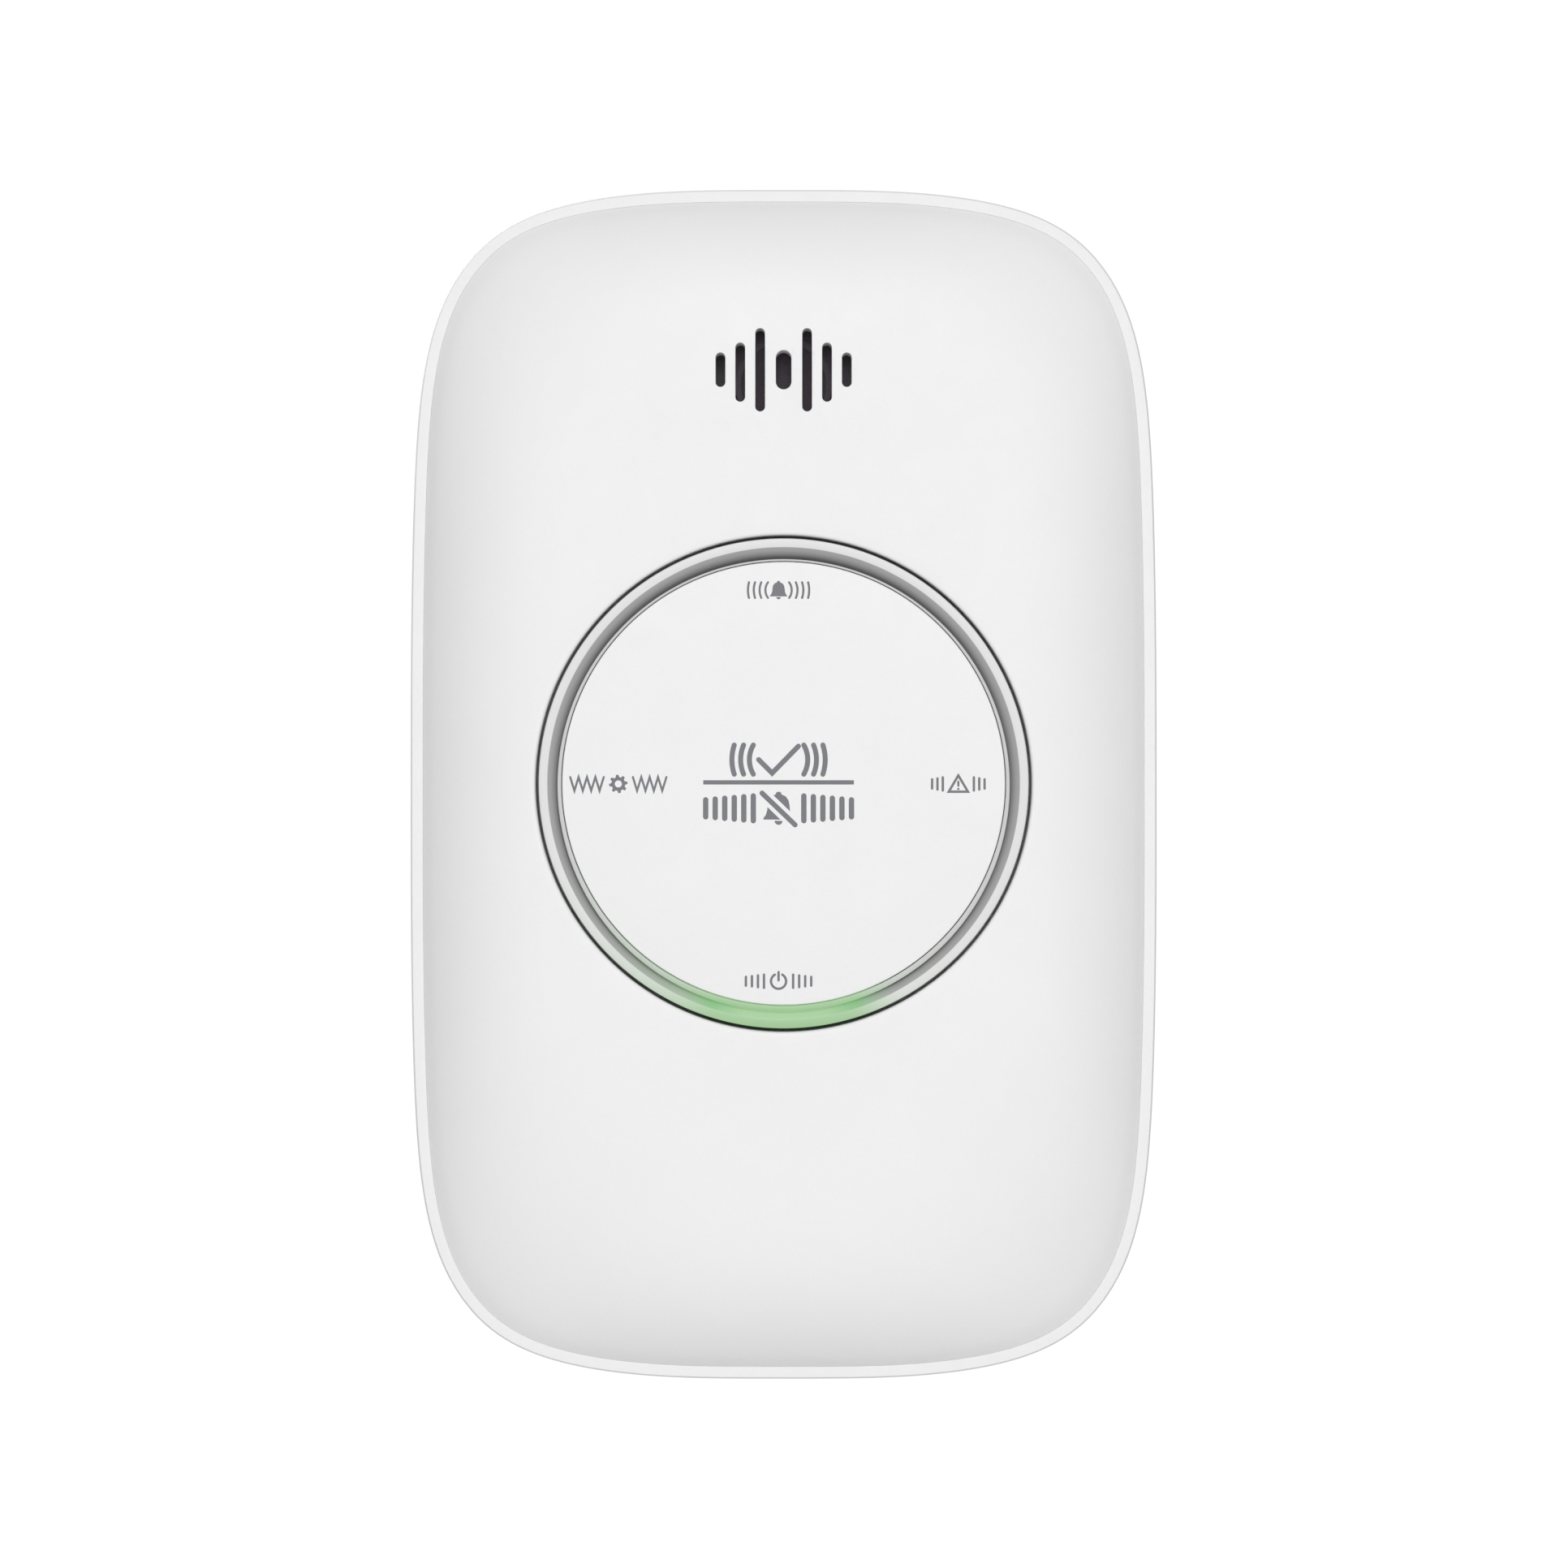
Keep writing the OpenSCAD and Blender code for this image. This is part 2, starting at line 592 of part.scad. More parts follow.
module sounder_gasket() color([0.16, 0.16, 0.17]) upright() translate([0, sounder_y, 0])
    ring(nozzle_r - 0.1, nozzle_r - 1.3, nozzle_z + 0.02, boss_z - 0.02);

// Black dust cloth in the nozzle's mouth
module port_cloth() color([0.08, 0.08, 0.08]) upright() translate([0, sounder_y, 0])
    rod(4.35, cloth_z + 0.02, cloth_z + 0.22);

module piezo_plate() color("goldenrod") upright() translate([0, sounder_y, 0])
    rod(11.7, piezo_z, piezo_z + 0.3);

module piezo_ceramic() color("ivory") upright() translate([0, sounder_y, 0])
    rod(8, piezo_z - 0.27, piezo_z - 0.02);

module sounder_leads() color("firebrick") upright() for (s = [-1, 1])
    wire(curve([
        [s * 6, sounder_y - 6, pcb_top - 1], [s * 6, sounder_y - 6, pcb_top + 0.6],
        [s * 5.4, sounder_y - 4.4, pcb_top + 1.5], [s * 5, sounder_y - 3, piezo_z - 0.6]
    ], 4), 0.28, 6);

// ---------------------------------------------------------------- battery power

module cell() {
    rod(cell_r, 0, cell_len - 1.6);
    rod(cell_r - 1.2, cell_len - 1.8, cell_len - 1.2);
    rod(2.75, cell_len - 2, cell_len);
}

module laid_cell(y, turned) upright() translate([0, y, cell_z]) rotate([0, turned ? -90 : 90, 0])
    translate([0, 0, nub_tip - cell_len]) cell();

module battery_upper() color("slategray") laid_cell(cell_ys[0], false);
module battery_lower() color("slategray") laid_cell(cell_ys[1], true);

module contact_pad(y) box([contact_x, y - 5, 6.6], [contact_x + contact_t, y + 5, 17.6]);

module contact_tab(y)
    box([contact_x, y - 1.5, tab_out_z], [bay_half + bay_wall + 2, y + 1.5, tab_out_z + contact_t]);

// Joins the upper cell's flat end to the lower cell's nub
module contact_bridge() color("silver") upright() mirror([1, 0, 0]) {
    for (y = cell_ys) contact_pad(y);
    box([contact_x, cell_ys[1], 10], [contact_x + contact_t, cell_ys[0], 14.5]);
}
module contact_positive() color("silver") upright() {
    contact_pad(cell_ys[0]);
    contact_tab(cell_ys[0]);
}
module contact_negative() color("silver") upright() {
    contact_pad(cell_ys[1]);
    contact_tab(cell_ys[1]);
}

// Tapered coils that press on the cells' flat ends
module contact_springs() color("silver") upright() {
    turns = coil(3, 5, cell_len - nub_tip + spring_r, contact_x - spring_r, 4, 14);
    for (k = [0, 1]) translate([0, cell_ys[k], cell_z]) rotate([0, k == 0 ? -90 : 90, 0])
        wire(turns, spring_r - 0.02, 6);
}

module battery_lead_red() color("red") upright() wire(curve(red_route, 4), lead_r);
module battery_lead_black() color([0.1, 0.1, 0.1]) upright() wire(curve(black_route, 4), lead_r);

module lead_connector() color("ivory") upright() translate(connector_at) difference() {
    box([-3.6, -3.4, pcb_z - 5.6], [3.7, 3.6, pcb_z - 0.02]);
    for (y = [-1.2, 1.4]) translate([0, y, pcb_z - 5.8]) cube([8, 1.4, 1.8], center = true);
}

// ---------------------------------------------------------------- fasteners and label

module cross_slot(z, r) for (a = [0, 90]) rotate(a) translate([-r, -0.3, z]) cube([2 * r, 0.6, 1.4]);

module case_screws() color("silver") upright() for (p = case_screw_at) translate(p) difference() {
    union() {
        rod(2.7, seat_z - 2.3, seat_z - 0.02);
        rod(1.4, seat_z - 1, 24);
    }
    cross_slot(seat_z - 3, 1.7);
}

module pcb_screws() color("silver") upright() for (p = pcb_screw_at) translate(p) difference() {
    union() {
        rod(2.2, pcb_top + 0.02, pcb_top + 1.7);
        rod(1.1, 14, pcb_top + 0.5);
    }
    cross_slot(pcb_top + 0.9, 1.4);
}

module rating_label() color("gainsboro") upright() translate([0, 50, floor_z - 0.17])
    round_plate(34, 10, 0.15, 1);

// ---------------------------------------------------------------- assembly

wall_plate();
rear_housing();
front_cover();
battery_door();
button_cap();
light_ring();
button_guide();
return_springs();
reflector_ring();
tact_switch();
tact_plunger();
alarm_led();
fault_led();
power_led();
malfunction_led();
main_pcb();
microcontroller();
chip_components();
electrolytic_capacitors();
step_up_coil();
co_sensor_can();
co_sensor_base();
sensor_filter();
sensor_pins();
sounder_housing();
sounder_gasket();
port_cloth();
piezo_plate();
piezo_ceramic();
sounder_leads();
battery_upper();
battery_lower();
contact_bridge();
contact_positive();
contact_negative();
contact_springs();
battery_lead_red();
battery_lead_black();
lead_connector();
case_screws();
pcb_screws();
rating_label();
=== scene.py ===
"""Carbon monoxide alarm: the visual model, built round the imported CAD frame.

Shapes are drawn lying on their back in millimetres, as the CAD draws them: X across, Y up the
front, Z out from the wall. UPRIGHT turns them into the frame, in metres.
"""
import math

import bmesh
import bpy
from mathutils import Matrix, Vector


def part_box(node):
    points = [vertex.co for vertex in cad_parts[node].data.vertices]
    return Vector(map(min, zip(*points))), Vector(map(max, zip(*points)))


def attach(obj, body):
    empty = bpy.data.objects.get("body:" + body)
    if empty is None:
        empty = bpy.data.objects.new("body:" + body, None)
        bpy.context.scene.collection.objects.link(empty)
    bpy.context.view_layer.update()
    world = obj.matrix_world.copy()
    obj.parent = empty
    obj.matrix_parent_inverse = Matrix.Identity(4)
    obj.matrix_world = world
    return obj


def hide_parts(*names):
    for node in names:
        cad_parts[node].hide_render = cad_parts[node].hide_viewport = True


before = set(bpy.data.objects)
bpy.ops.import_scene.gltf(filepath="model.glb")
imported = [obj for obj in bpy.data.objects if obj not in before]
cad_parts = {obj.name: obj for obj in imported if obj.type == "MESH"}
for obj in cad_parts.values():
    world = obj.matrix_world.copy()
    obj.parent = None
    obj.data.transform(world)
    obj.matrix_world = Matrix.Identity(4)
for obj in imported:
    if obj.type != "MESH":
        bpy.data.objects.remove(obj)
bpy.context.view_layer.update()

MM = 0.001
SHARP = math.radians(32)             # edges that turn more than this stay sharp
UPRIGHT = Matrix(((MM, 0, 0, 0), (0, 0, -MM, 0), (0, MM, 0, 0), (0, 0, 0, 1)))


def drawn_box(node):
    """A CAD node's lowest and highest corners, in drawing millimetres."""
    lo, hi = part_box(node)
    return (Vector((lo[0], lo[2], -hi[1])) / MM, Vector((hi[0], hi[2], -lo[1])) / MM)


# ---------------------------------------------------------------- sizes, in drawing millimetres

REAR_LO, REAR_HI = drawn_box("rear_housing")
COVER_LO, COVER_HI = drawn_box("front_cover")
CAP_LO, CAP_HI = drawn_box("button_cap")
RING_LO, _ = drawn_box("light_ring")
PLATE_LO, PLATE_HI = drawn_box("wall_plate")

# The body: a superellipse outline, a flat rim and the dome inside it
HALF_W = REAR_HI.x
HALF_H = REAR_HI.y
BACK_Z = REAR_LO.z
RIM_Z = REAR_HI.z
FACE_Z = COVER_HI.z
LAP_Z = COVER_LO.z                   # lower edge of the cover, tucked inside the rim
RIM_W = 1.32
RIM_EDGE = 0.21                      # the rim's rounded outer edge
SIDE_POWER = 3.9
END_POWER = 5.7
DOME_W = 20.0
DOME_POWER = 3.6
FOOT_W = 1.4                         # the dome's foot is steeper over this width
FOOT_RISE = 0.35                     # and lifts it by this much
DOME_RISE = FACE_Z - RIM_Z - FOOT_RISE
CORNER_PULL = 0.166                  # at the corners the outline draws in by this share less
CORNER_STRETCH = 0.68                # and the dome is this share wider
BOW = 0.175                          # the outline draws in this much between a side and a corner
BOW_END = 0.82                       # up to this share of the half width or half height
BOW_LEAN = 1.55                      # and deepest nearer to that end, by this power
SHELL = 2.0
SKIRT_TUCK = 2.4                     # how far the skirt draws in towards the back

# The test button, its light ring and the hole they sit in
CAP_R = CAP_HI.x
RING_IN = CAP_R + 0.09
RING_OUT = RING_IN + 2.325
HOLE_R = RING_OUT + 0.36
HOLE_EDGE = 0.32                     # the rounding of the hole's brim
LIP_DROP = -0.19                     # the groove's inner edge sits this much low
COLLAR_Z = 29.2                      # lower end of the hole's collar
COLLAR_W = 2.0
PIN_RING_R = 14.0                    # three pins inside the cap, on this radius
SWITCH_POST_Z = 28.18                # lower end of the post that presses the switch

# The grille and the sounder behind it
GRILLE_Y = 42.6
SOUNDER_Y = GRILLE_Y - 1.3
SLOT_W = 1.0
SLOT_EDGE = 0.07                     # the rounding of the slots' edges
MIDDLE_SLOT = (1.6, 4.05)            # width and length
SIDE_SLOTS = ((2.42, 8.6, 0), (4.47, 6.1, 0.25), (6.51, 3.55, 0))   # distance, length and drop
BOSS_Z = 30.6                        # lower face of the round boss over the sounder

# The rear panel, its posts and the battery bay
FLOOR_Z = 2.9                        # outer face of the rear panel, set in by the wall plate's depth
PANEL_Z = 4.7                        # its inner face
CASE_SCREWS = ((-28, 48), (28, 48), (0, -56.2))
CASE_POST_R = 4.2
CASE_POST_Z = 12.0                   # where the housing's screw posts meet the cover's
CASE_HEAD_R = 3.0                    # the well that each case screw's head sinks into
CASE_HEAD_Z = 8.0
CASE_HOLE_R = 1.6
COVER_POST_R = 2.6
COVER_POST_Z = 27.5                  # upper end of the cover's posts, inside its skin
COVER_BORE_R = 1.45
COVER_BORE_Z = 25.0
BOARD_SCREWS = ((-28.4, 24), (28.4, 24), (-28.4, -9), (28.4, -9))
BOARD_POST_R = 2.4
BOARD_BORE_R = 1.15
BOARD_Z = 21.38                      # lower face of the circuit board
HINGE_Y = -49.5
HINGE_Z = 4.6
HINGE_BORE = 0.97
LUG_IN = 27.2                        # the hinge lugs' inner faces
OPEN_HALF = 30.0
OPEN_LO = -51.9
OPEN_HI = -13.3
BAY_HALF = 29.5
BAY_LO = -46.0
BAY_HI = -15.5
BAY_TOP = 19.7
BAY_WALL = 1.5
CELL_YS = (-23.25, -38.25)
SLITS = 9                            # in each flank
SLIT_LO = 17.0
SLIT_PITCH = 3.4
SLIT_W = 1.4
SLIT_LENGTH = 12.0                   # along the depth
SLIT_Z = 15.0                        # middle of the slits' length

# ---------------------------------------------------------------- mesh building


def merged(*parts):
    """Several (points, faces) pairs as one."""
    points, faces = [], []
    for more_points, more_faces in parts:
        start = len(points)
        points += more_points
        faces += [tuple(i + start for i in face) for face in more_faces]
    return points, faces


def loft(rings, closed=False):
    """A skin through rings of equally many points: a solid with flat ends, or a closed loop."""
    n, count = len(rings[0]), len(rings)
    points = [p for ring in rings for p in ring]
    faces = []
    for k in range(count if closed else count - 1):
        a, b = k * n, (k + 1) % count * n
        faces += [(a + j, a + (j + 1) % n, b + (j + 1) % n, b + j) for j in range(n)]
    if not closed:
        faces.append(tuple(reversed(range(n))))
        faces.append(tuple(range((count - 1) * n, count * n)))
    return points, faces


def circle(r, n=64, x=0.0, y=0.0, turned=0.0):
    """Points round a circle, anticlockwise from +X turned by an angle in radians."""
    angles = [turned + 2 * math.pi / n * k for k in range(n)]
    return [(x + r * math.cos(a), y + r * math.sin(a)) for a in angles]


def level(outline, z):
    """A flat outline lifted to a height."""
    return [(x, y, z) for x, y in outline]


def prism(outline, z0, z1):
    """An upright extrusion of an anticlockwise outline."""
    return loft([level(outline, z0), level(outline, z1)])


def rod(r, z0, z1, x=0.0, y=0.0, n=48):
    """A cylinder along Z."""
    return prism(circle(r, n, x, y), z0, z1)


def cuboid(lo, hi):
    """A box between two corners."""
    return prism([(lo[0], lo[1]), (hi[0], lo[1]), (hi[0], hi[1]), (lo[0], hi[1])], lo[2], hi[2])


def rod_x(r, x0, x1, y, z, n=48):
    """A cylinder along X."""
    points, faces = rod(r, x0, x1, n=n)
    return [(pz, y + py, z - px) for px, py, pz in points], faces


def slot_outline(w, length, x=0.0, y=0.0, n=24):
    """Outline of an upright slot with round ends."""
    reach = (length - w) / 2
    half = [(w / 2 * math.cos(math.pi * k / n), w / 2 * math.sin(math.pi * k / n) + reach)
            for k in range(n + 1)]
    return [(x + px, y + py) for px, py in half + [(-px, -py) for px, py in half]]


def revolve(profile, n=256):
    """A closed profile of (radius, z) turned about Z; a third number moves a ring's centre in Y."""
    rings = [level(circle(p[0], n, 0, *p[2:]), p[1]) for p in profile]
    return loft(rings, closed=True)


def fillet(r0, z0, r, start, end, steps=5):
    """Profile points round an arc about (r0, z0), from start to end degrees."""
    span = [math.radians(start + (end - start) * k / steps) for k in range(steps + 1)]
    return [(r0 + r * math.cos(a), z0 + r * math.sin(a)) for a in span]


def make(name, part):
    """An object from (points, faces) in drawing millimetres."""
    mesh = bpy.data.meshes.new(name)
    mesh.from_pydata(part[0], [], part[1])
    mesh.validate()
    skin = bmesh.new()
    skin.from_mesh(mesh)
    bmesh.ops.recalc_face_normals(skin, faces=skin.faces)
    skin.to_mesh(mesh)
    skin.free()
    made = bpy.data.objects.new(name, mesh)
    bpy.context.scene.collection.objects.link(made)
    return made


def combine(target, part, how):
    """Joins part to target, or cuts it away, for good."""
    tool = make("tool", part)
    step = target.modifiers.new("step", "BOOLEAN")
    step.operation = how
    step.solver = "MANIFOLD"
    step.object = tool
    view = bpy.context.evaluated_depsgraph_get()
    mesh = bpy.data.meshes.new_from_object(target.evaluated_get(view))
    target.modifiers.clear()
    old, used = target.data, tool.data
    target.data = mesh
    bpy.data.objects.remove(tool)
    bpy.data.meshes.remove(old)
    bpy.data.meshes.remove(used)


def cut(target, *parts):
    """Cuts parts away from target."""
    for part in parts:
        combine(target, part, "DIFFERENCE")


def add(target, *parts):
    """Joins parts to target."""
    for part in parts:
        combine(target, part, "UNION")


def taken(made):
    """A finished helper object as a (points, faces) part; the object goes."""
    mesh = made.data
    part = ([tuple(v.co) for v in mesh.vertices], [tuple(p.vertices) for p in mesh.polygons])
    bpy.data.objects.remove(made)
    bpy.data.meshes.remove(mesh)
    return part


def mirrored(part):
    """The same part on the other side of X = 0."""
    points, faces = part
    return [(-x, y, z) for x, y, z in points], [tuple(reversed(face)) for face in faces]


def settle(made, body, material, replaced=()):
    """Stands the piece up in the frame, smooths it and hands it over."""
    mesh = made.data
    mesh.transform(UPRIGHT)
    mesh.materials.clear()
    mesh.materials.append(material)
    mesh.polygons.foreach_set("use_smooth", [True] * len(mesh.polygons))
    mesh.set_sharp_from_angle(angle=SHARP)
    mesh.update()
    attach(made, body)
    if replaced:
        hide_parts(*replaced)
    return made


# ---------------------------------------------------------------- the body's outline and dome

EIGHTH = 48
KNEE_Y = math.sin(math.pi / 4) ** (2 / END_POWER)
KNEE_X = math.cos(math.pi / 4) ** (2 / SIDE_POWER)


def corner(i):
    """A point of the outline's first quarter, as shares of the half width and half height."""
    if i <= EIGHTH:
        v = KNEE_Y * i / EIGHTH
        return (1 - v ** END_POWER) ** (1 / SIDE_POWER), v
    w = KNEE_X * (2 * EIGHTH - i) / EIGHTH
    return w, (1 - w ** SIDE_POWER) ** (1 / END_POWER)


QUARTER = [corner(i) for i in range(2 * EIGHTH)]
LATER = [corner(i) for i in range(2 * EIGHTH, 0, -1)]
UNIT = (QUARTER + [(-x, y) for x, y in LATER]
        + [(-x, -y) for x, y in QUARTER] + [(x, -y) for x, y in LATER])


def bow(x, y):
    """How much the outline draws in between the middle of a side or an end and the corner."""
    share = min(1.0, abs(x) / BOW_END, abs(y) / BOW_END)
    return BOW * math.sin(math.pi * share ** BOW_LEAN) ** 2


def outline(inset):
    """The body's outline, drawn in by inset all round."""
    points = []
    for x, y in UNIT:
        corner_share = 4 * abs(x) ** SIDE_POWER * abs(y) ** END_POWER
        drawn_in = inset * (1 - CORNER_PULL * corner_share) + bow(x, y)
        points.append(((HALF_W - drawn_in) * x, (HALF_H - drawn_in) * y))
    return points


def dome_z(d):
    """Height of the front at a distance in from the dome's edge."""
    foot = FOOT_RISE * (1 - max(0.0, 1 - d / FOOT_W) ** 2)
    return RIM_Z + foot + DOME_RISE * (1 - max(0.0, 1 - d / DOME_W) ** DOME_POWER)


def inset_at(x, y):
    """How far in from the dome's edge a point lies, counted in longer steps across a corner."""
    lo, hi = 0.0, 32.0
    for _ in range(24):
        mid = (lo + hi) / 2
        unit_x, unit_y = abs(x) / (HALF_W - mid), abs(y) / (HALF_H - mid)
        across, along = unit_x ** SIDE_POWER, unit_y ** END_POWER
        if across + along > 1:
            hi = mid
        else:
            lo = mid
    corner_share = 4 * across * along
    inset = (lo - bow(unit_x, unit_y)) / (1 - CORNER_PULL * corner_share)
    return max(0.0, inset - RIM_W) / (1 + CORNER_STRETCH * corner_share)


def skirt_inset(z):
    """How far the skirt draws in at a height."""
    return SKIRT_TUCK * ((RIM_Z - z) / (RIM_Z - BACK_Z)) ** 4


# ---------------------------------------------------------------- materials


def node_material(name, colour, rough, metal=0.0, **sockets):
    """A principled material, its node tree, its shader and a vector socket in millimetres."""
    made = bpy.data.materials.new(name)
    made.use_nodes = True
    tree = made.node_tree
    shader = tree.nodes["Principled BSDF"]
    shader.inputs["Base Color"].default_value = (*colour, 1)
    shader.inputs["Roughness"].default_value = rough
    shader.inputs["Metallic"].default_value = metal
    for key, value in sockets.items():
        shader.inputs[key.replace("_", " ")].default_value = value
    where = tree.nodes.new("ShaderNodeTexCoord")
    scale = tree.nodes.new("ShaderNodeVectorMath")
    scale.operation = "SCALE"
    scale.inputs["Scale"].default_value = 1 / MM
    tree.links.new(where.outputs["Object"], scale.inputs[0])
    return made, tree, shader, scale.outputs[0]


def noise(tree, where, size_mm, detail=3.0):
    """Noise whose grains are about size_mm across."""
    made = tree.nodes.new("ShaderNodeTexNoise")
    made.inputs["Scale"].default_value = 1 / size_mm
    made.inputs["Detail"].default_value = detail
    made.inputs["Roughness"].default_value = 0.55
    tree.links.new(where, made.inputs["Vector"])
    return made.outputs["Fac"]


def ramp(tree, value, *stops):
    """A colour ramp on a value: stops are (position, colour)."""
    made = tree.nodes.new("ShaderNodeValToRGB")
    points = made.color_ramp.elements
    while len(points) < len(stops):
        points.new(0.5)
    for point, (at, colour) in zip(points, stops):
        point.position = at
        point.color = (*colour, 1)
    tree.links.new(value, made.inputs["Fac"])
    return made.outputs["Color"]


def grey(value):
    """A neutral colour."""
    return (value, value, value)


def bump(tree, shader, value, height_mm, before=None):
    """Relief of about height_mm from a value between 0 and 1."""
    made = tree.nodes.new("ShaderNodeBump")
    made.inputs["Distance"].default_value = height_mm * MM
    made.inputs["Strength"].default_value = 1.0
    tree.links.new(value, made.inputs["Height"])
    if before is not None:
        tree.links.new(before, made.inputs["Normal"])
    tree.links.new(made.outputs["Normal"], shader.inputs["Normal"])
    return made.outputs["Normal"]


def maths(tree, operation, *values):
    """A maths node on sockets or plain numbers."""
    made = tree.nodes.new("ShaderNodeMath")
    made.operation = operation
    for socket, value in zip(made.inputs, values):
        if isinstance(value, (int, float)):
            socket.default_value = value
        else:
            tree.links.new(value, socket)
    return made.outputs[0]


def varied(tree, shader, where, colour, spread, size_mm, speck_mm=0.3):
    """Base colour that drifts a little from place to place, with a fine speckle."""
    low = tuple(c * (1 - spread) for c in colour)
    high = tuple(min(1.0, c * (1 + spread)) for c in colour)
    value = maths(tree, "ADD", noise(tree, where, size_mm, detail=4),
                  noise(tree, where, speck_mm, detail=1))
    tree.links.new(ramp(tree, maths(tree, "MULTIPLY", value, 0.5), (0.3, low), (0.7, high)),
                   shader.inputs["Base Color"])


def moulded(name, colour, rough=0.55, grain_mm=0.28, height_mm=0.004, spread=0.012, **sockets):
    """Moulded plastic with a fine spark-eroded grain and a faint drift in colour and gloss."""
    made, tree, shader, where = node_material(name, colour, rough, **sockets)
    varied(tree, shader, where, colour, spread, 9)
    grain = noise(tree, where, grain_mm, detail=2)
    relief = bump(tree, shader, grain, height_mm)
    wave = noise(tree, where, 14, detail=1)
    bump(tree, shader, wave, 0.02, relief)
    gloss = ramp(tree, noise(tree, where, 3), (0.3, grey(rough - 0.04)), (0.7, grey(rough + 0.04)))
    tree.links.new(gloss, shader.inputs["Roughness"])
    return made


def metal(name, colour, rough, stretch=(1, 1, 1)):
    """Plated or bare metal with fine scratches."""
    made, tree, shader, where = node_material(name, colour, rough, metal=1.0)
    squeeze = tree.nodes.new("ShaderNodeMapping")
    squeeze.inputs["Scale"].default_value = stretch
    tree.links.new(where, squeeze.inputs["Vector"])
    where = squeeze.outputs["Vector"]
    varied(tree, shader, where, colour, 0.06, 4)
    bump(tree, shader, noise(tree, where, 0.5, detail=4), 0.003)
    gloss = ramp(tree, noise(tree, where, 1.5), (0.3, grey(rough * 0.75)), (0.7, grey(rough * 1.25)))
    tree.links.new(gloss, shader.inputs["Roughness"])
    return made


def tinted(name, colour, glow=0.0):
    """Clear tinted resin of an indicator, lit or not."""
    made, tree, shader, where = node_material(name, colour, 0.18, Coat_Weight=0.4)
    varied(tree, shader, where, colour, 0.1, 0.8)
    bump(tree, shader, noise(tree, where, 0.4), 0.002)
    shader.inputs["Emission Color"].default_value = (*colour, 1)
    shader.inputs["Emission Strength"].default_value = glow
    return made


def parts_of(tree, where):
    """The three coordinates of a vector."""
    made = tree.nodes.new("ShaderNodeSeparateXYZ")
    tree.links.new(where, made.inputs[0])
    return made.outputs


def blended(tree, factor, first, second):
    """Mixes two colours, each a socket or a plain colour."""
    made = tree.nodes.new("ShaderNodeMix")
    made.data_type = "RGBA"
    slots = [s for s in made.inputs if s.enabled]
    for socket, value in zip(slots, (factor, first, second)):
        if isinstance(value, float):
            socket.default_value = value
        elif isinstance(value, tuple):
            socket.default_value = (*value, 1)
        else:
            tree.links.new(value, socket)
    return [s for s in made.outputs if s.enabled][0]


WHITE = (0.80, 0.80, 0.80)
RING_WHITE = (0.69, 0.69, 0.69)
LIP_WHITE = (0.56, 0.56, 0.56)
LAND_GREEN = (0.325, 0.52, 0.285)
GLOW_GREEN = (0.41, 0.62, 0.37)
DEEP_GREEN = (0.27, 0.56, 0.26)
PAINTED_GLOW_SHARE = 0.48                     # how much of the lit green is painted light in the base colour
LIT_GLOW = 0.58                      # and how strongly it glows


def ring_places(tree, where):
    """How far across the ring a point lies, from 0 to 1, how high round it, from -1 to 1, and x."""
    x, _, z = parts_of(tree, where)
    squares = [maths(tree, "MULTIPLY", part, part) for part in (x, z)]
    radius = maths(tree, "SQRT", maths(tree, "ADD", *squares))
    across = maths(tree, "DIVIDE", maths(tree, "SUBTRACT", radius, RING_IN), RING_OUT - RING_IN)
    return across, maths(tree, "DIVIDE", z, radius), x


def groove_grey_and_painted_shade(tree, across, height):
    """The groove's grey tone, with painted shade: darkest at its inner foot, deep in the groove, and
    darker round the top of the ring, where the light from above leaves it in shade.
    """
    inner = ramp(tree, maths(tree, "MULTIPLY_ADD", height, 0.5, 0.5),
                 (0.0, grey(0.28)), (0.5, grey(0.25)), (1.0, grey(0.16)))
    climb = ramp(tree, across, (0.18, grey(0)), (0.30, grey(0.5)), (0.45, grey(0.85)), (0.6, grey(1)))
    return blended(tree, climb, inner, grey(0.41))


def lit_share(tree, low, x):
    """How strongly the ring is lit, by how low a point lies: the light reaches further on the left."""
    right = ramp(tree, low, (0.66, grey(0)), (0.87, grey(0.1)), (0.91, grey(0.42)),
                 (0.955, grey(0.92)), (1.0, grey(1)))
    left = ramp(tree, low, (0.3, grey(0)), (0.64, grey(0.14)), (0.77, grey(0.28)),
                (0.87, grey(0.48)), (0.91, grey(0.64)), (0.955, grey(0.93)), (1.0, grey(1)))
    return blended(tree, maths(tree, "LESS_THAN", x, 0), right, left)


